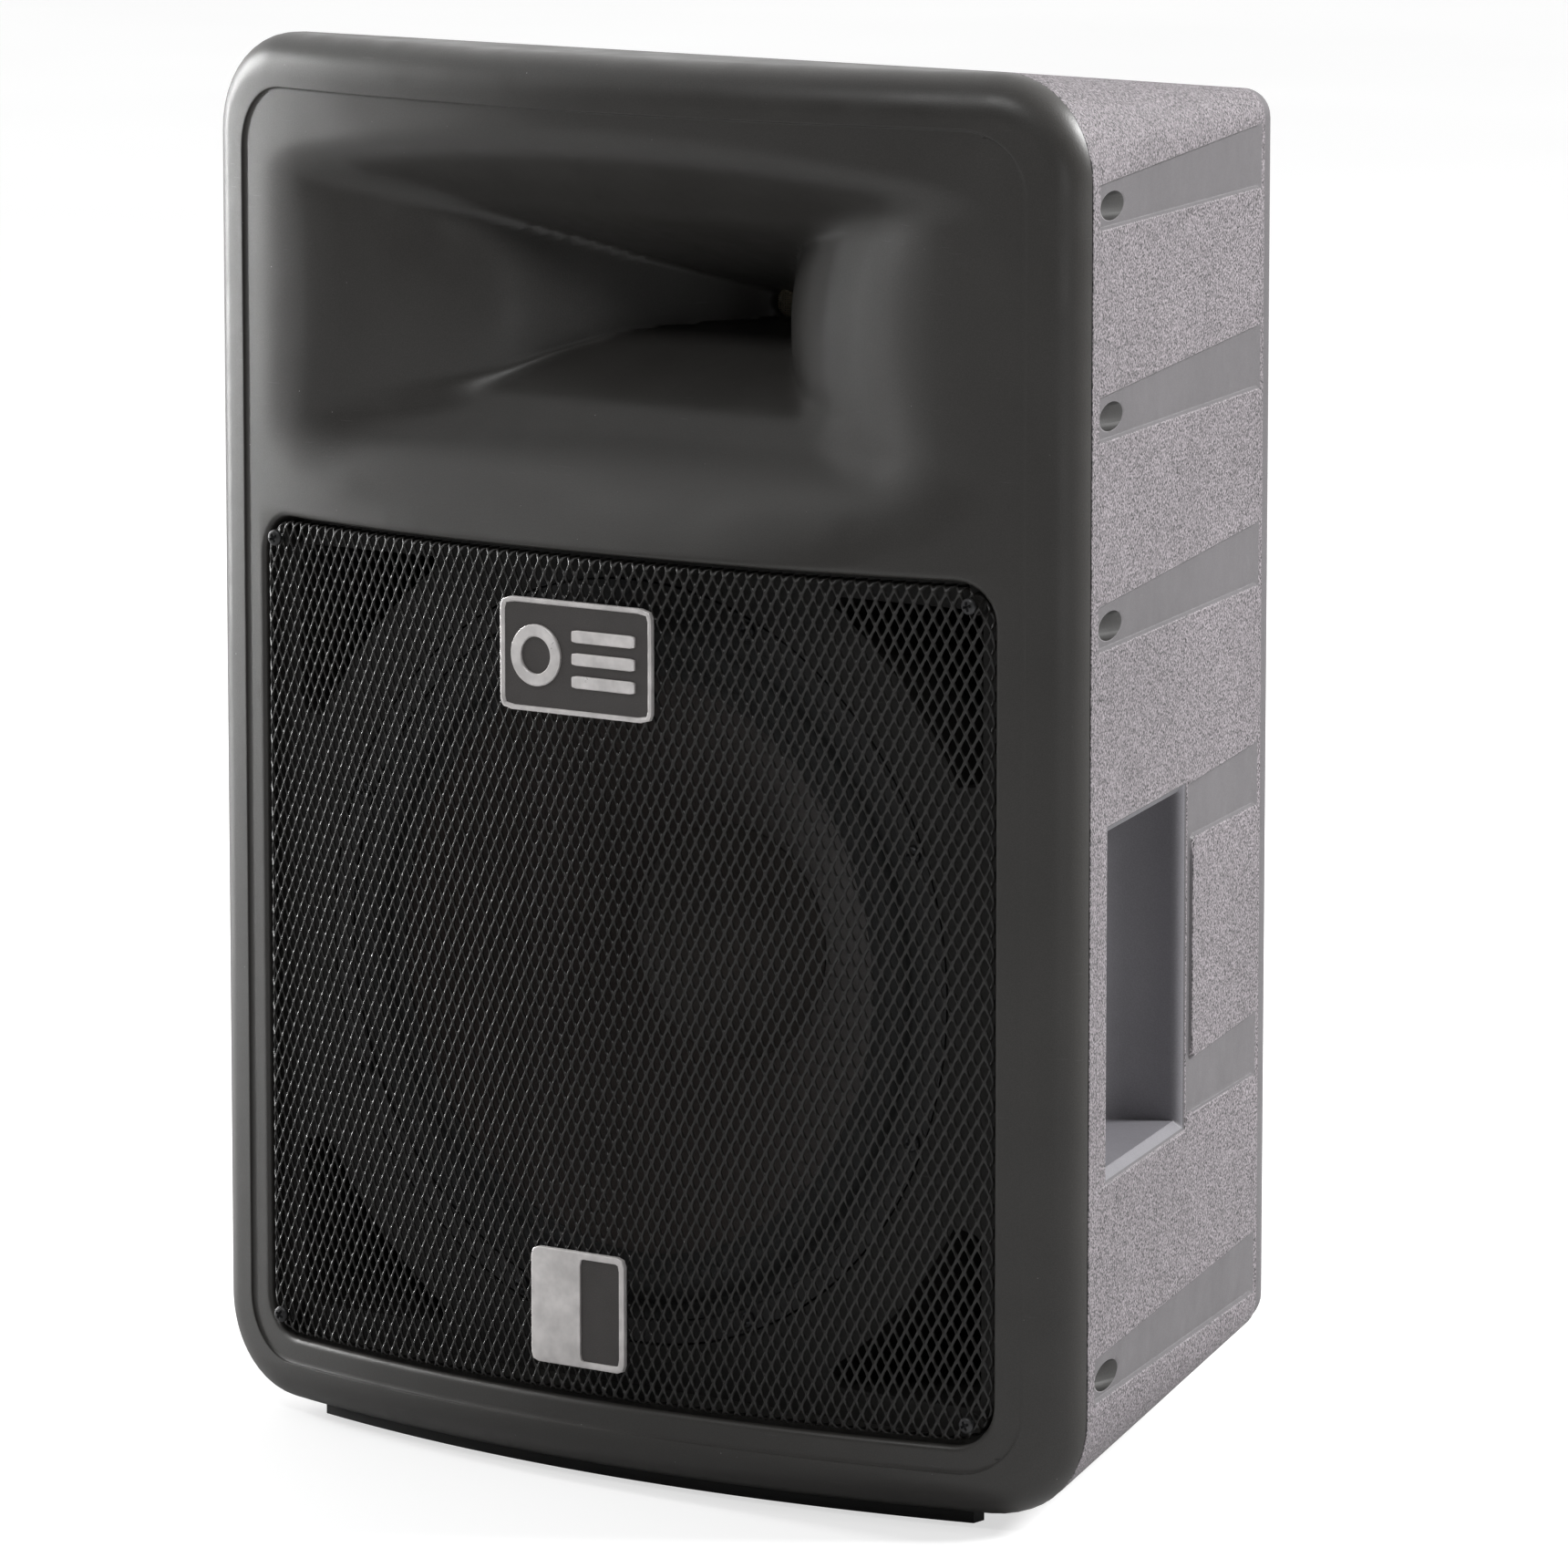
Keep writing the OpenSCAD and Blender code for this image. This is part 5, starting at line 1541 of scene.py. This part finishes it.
for side_name, side_sign in (("left", -1), ("right", 1)):
    b = Builder()
    knots = [(8, 76, 56.5), (8, 75.7, 72), (8, 75.6, 90), (8, 77, 104), (8, 82, 107.6), (8, 86.8, 107)]
    path = curve_through([(side_sign * x, y, WOOFER_Z + z) for x, y, z in knots], 12)
    tube(b, path, 0.78, sides=18, lobes=3, twist=0.9)
    lead = mesh_object(f"woofer_lead_{side_name}", b.verts, b.faces, LOOKS["copper_wire"])
    outward(lead)
    fixed_end, moving_end = ((side_sign * 8 * MM, 0.08, (WOOFER_Z + z) * MM) for z in (103, 59))
    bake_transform(lead)
    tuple(fixed_end)
    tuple(moving_end)
    stand_for("woofer_leads", "copper_wire")


# ---- woven screen in the horn throat ----


def build_screen():
    """Wires woven over and under each other across the throat."""
    radius, pitch, wire_r, steps = THROAT_R + 1.9, 0.9, 0.15, 4
    mid_y = (screen_low[1] + screen_high[1]) / 2
    b = Builder()
    count = int(radius / pitch)
    for direction in (0, 1):
        for k in range(-count, count + 1):
            offset = k * pitch
            half = math.sqrt(radius**2 - offset**2)
            n = max(2, int(2 * half / pitch * steps))
            s = np.linspace(-half, half, n)
            y = mid_y + wire_r * 0.95 * np.cos(math.pi * (s / pitch + k + direction))
            beside = np.full(n, offset)
            line = np.stack([beside, y, s] if direction else [s, y, beside], 1)
            line[:, 2] += HORN_Z
            wide, deep = np.array([1, 0, 0] if direction else [0, 0, 1]), np.array([0, 1, 0])
            rings = [line + wire_r * (math.cos(g) * wide + math.sin(g) * deep) for g in angles_of(5)]
            b.grid(np.stack(rings, 1), wrap=True)
    return mesh_object("throat_screen_weave", b.verts, b.faces, LOOKS["screen_mesh"])


place(build_screen(), "throat_screen")


# ---- inside parts whose CAD solids are too plain ----


def reshaped(node, name, modifiers):
    """A copy of a CAD node run through modifiers, in place of the node."""
    obj = new_object(name, frame["nodes"][node].data.copy())
    obj.data.materials.clear()
    obj.data.materials.append(LOOKS[SLOT_OF[node]])
    weld(obj, 0.01)
    modified(obj, modifiers)
    place(obj, node)
    return obj


def lumps(name, size):
    texture = bpy.data.textures.new(name, "CLOUDS")
    texture.noise_scale = size * MM
    return texture


EDGE = {"limit_method": "ANGLE", "angle_limit": math.radians(40), "segments": 3, "harden_normals": False}
batts = reshaped(
    "damping_batts",
    "damping_batts_fibre",
    [
        ("REMESH", {"mode": "VOXEL", "voxel_size": 7 * MM}),
        ("SMOOTH", {"factor": 0.8, "iterations": 5}),
        ("DISPLACE", {"texture": lumps("wadding_lumps", 22), "strength": -7 * MM, "mid_level": 0.2}),
        ("DISPLACE", {"texture": lumps("wadding_tufts", 6), "strength": -2.5 * MM, "mid_level": 0.2}),
    ],
)
batts.data.shade_smooth()
for plain_node, width in (("resistors", 0.9), ("woofer_terminals", 0.5)):
    sharpen(reshaped(plain_node, f"{plain_node}_rounded", [("BEVEL", {"width": width * MM, **EDGE})]), 50)


# ---- finishes of the CAD nodes that stay ----

for node, obj in frame["nodes"].items():
    if not obj.hide_render:
        for i in range(len(obj.data.materials)):
            obj.data.materials[i] = LOOKS[SLOT_OF[node]]


# ---- floor, light and camera ----

# the room is bright behind and to the left, dark in front
BRIGHT_SIDE = (-0.6, 0.8, 0.0)
WORLD_FRONT, WORLD_BACK = 0.04, 1.1


FLOOR_REACH = 9000


def lay_floor():
    corners = [(x * FLOOR_REACH, y * FLOOR_REACH, 0) for x, y in ((-1, -1), (1, -1), (1, 1), (-1, 1))]
    floor = mesh_object("floor", corners, [(0, 1, 2, 3)])
    s = Shader("floor_paper")
    tone = s.ramp(s.noise(900, 2), 0.3, 0.7, 0.43, 0.47)
    glow = s.math("MULTIPLY", s.nodes.new("ShaderNodeLightPath").outputs["Is Camera Ray"], 0.62)
    paper = s.blend(tone, rgb(0, 0, 0), rgb(1, 1, 1))
    floor.data.materials.append(s.finish(paper, 0.7, Emission_Color=rgb(1, 1, 1), Emission_Strength=glow))


def light_room():
    """A world whose brightness changes from WORLD_FRONT to WORLD_BACK toward BRIGHT_SIDE."""
    world = bpy.data.worlds.new("studio")
    bpy.context.scene.world = world
    world.use_nodes = True
    nodes, links = world.node_tree.nodes, world.node_tree.links
    background = nodes["Background"]
    background.inputs["Color"].default_value = rgb(1, 1, 1)
    toward = nodes.new("ShaderNodeVectorMath")
    toward.operation = "DOT_PRODUCT"
    links.new(nodes.new("ShaderNodeTexCoord").outputs["Generated"], toward.inputs[0])
    toward.inputs[1].default_value = BRIGHT_SIDE
    level = nodes.new("ShaderNodeMapRange")
    links.new(toward.outputs["Value"], level.inputs["Value"])
    settings = {"From Min": -0.55, "From Max": 0.5, "To Min": WORLD_FRONT, "To Max": WORLD_BACK}
    for key, value in settings.items():
        level.inputs[key].default_value = value
    links.new(level.outputs[0], background.inputs["Strength"])


def softbox(name, location, aim, size, power):
    """A rectangular area light; location, aim and size are in metres, power in watts."""
    light = bpy.data.lights.new(name, "AREA")
    light.shape = "RECTANGLE"
    light.size, light.size_y = size
    light.energy = power
    obj = new_object(name, light)
    obj.location = location
    obj.rotation_euler = (Vector(aim) - Vector(location)).to_track_quat("-Z", "Y").to_euler()


CAMERA_AZIMUTH, CAMERA_ELEVATION = math.radians(36.92), math.radians(8.79)
CAMERA_DISTANCE, CAMERA_LENS = 4.65879, 217.34
CAMERA_TARGET = Vector((0.00759, 0.1, 0.32558))


def photo_camera():
    """The view from the front and the right, as azimuth, elevation and distance from a target point."""
    level = math.cos(CAMERA_ELEVATION)
    back = Vector(
        (math.sin(CAMERA_AZIMUTH) * level, -math.cos(CAMERA_AZIMUTH) * level, math.sin(CAMERA_ELEVATION))
    )
    camera = bpy.data.cameras.new("camera")
    camera.lens = CAMERA_LENS
    camera.sensor_width = 36
    camera.clip_end = 100
    obj = new_object("camera", camera)
    obj.location = CAMERA_TARGET + back * CAMERA_DISTANCE
    obj.rotation_euler = (-back).to_track_quat("-Z", "Y").to_euler()
    bpy.context.scene.camera = obj


lay_floor()
light_room()
softbox("side_right", (2.8, 2.4, 2.9), (0.2, 0.15, 0.5), (1.2, 1.4), 320)
softbox("front_left", (-3.3, -0.05, 1.0), (0, 0, 0.35), (0.3, 1.8), 110)
softbox("top_front", (0.1, -2.0, 2.6), (0, 0, 0.4), (1.0, 0.5), 23)
softbox("front_right", (2.6, -2.6, 0.6), (0, 0, 0.35), (1.2, 0.9), 6)
photo_camera()
bpy.context.scene.view_settings.view_transform = "Standard"
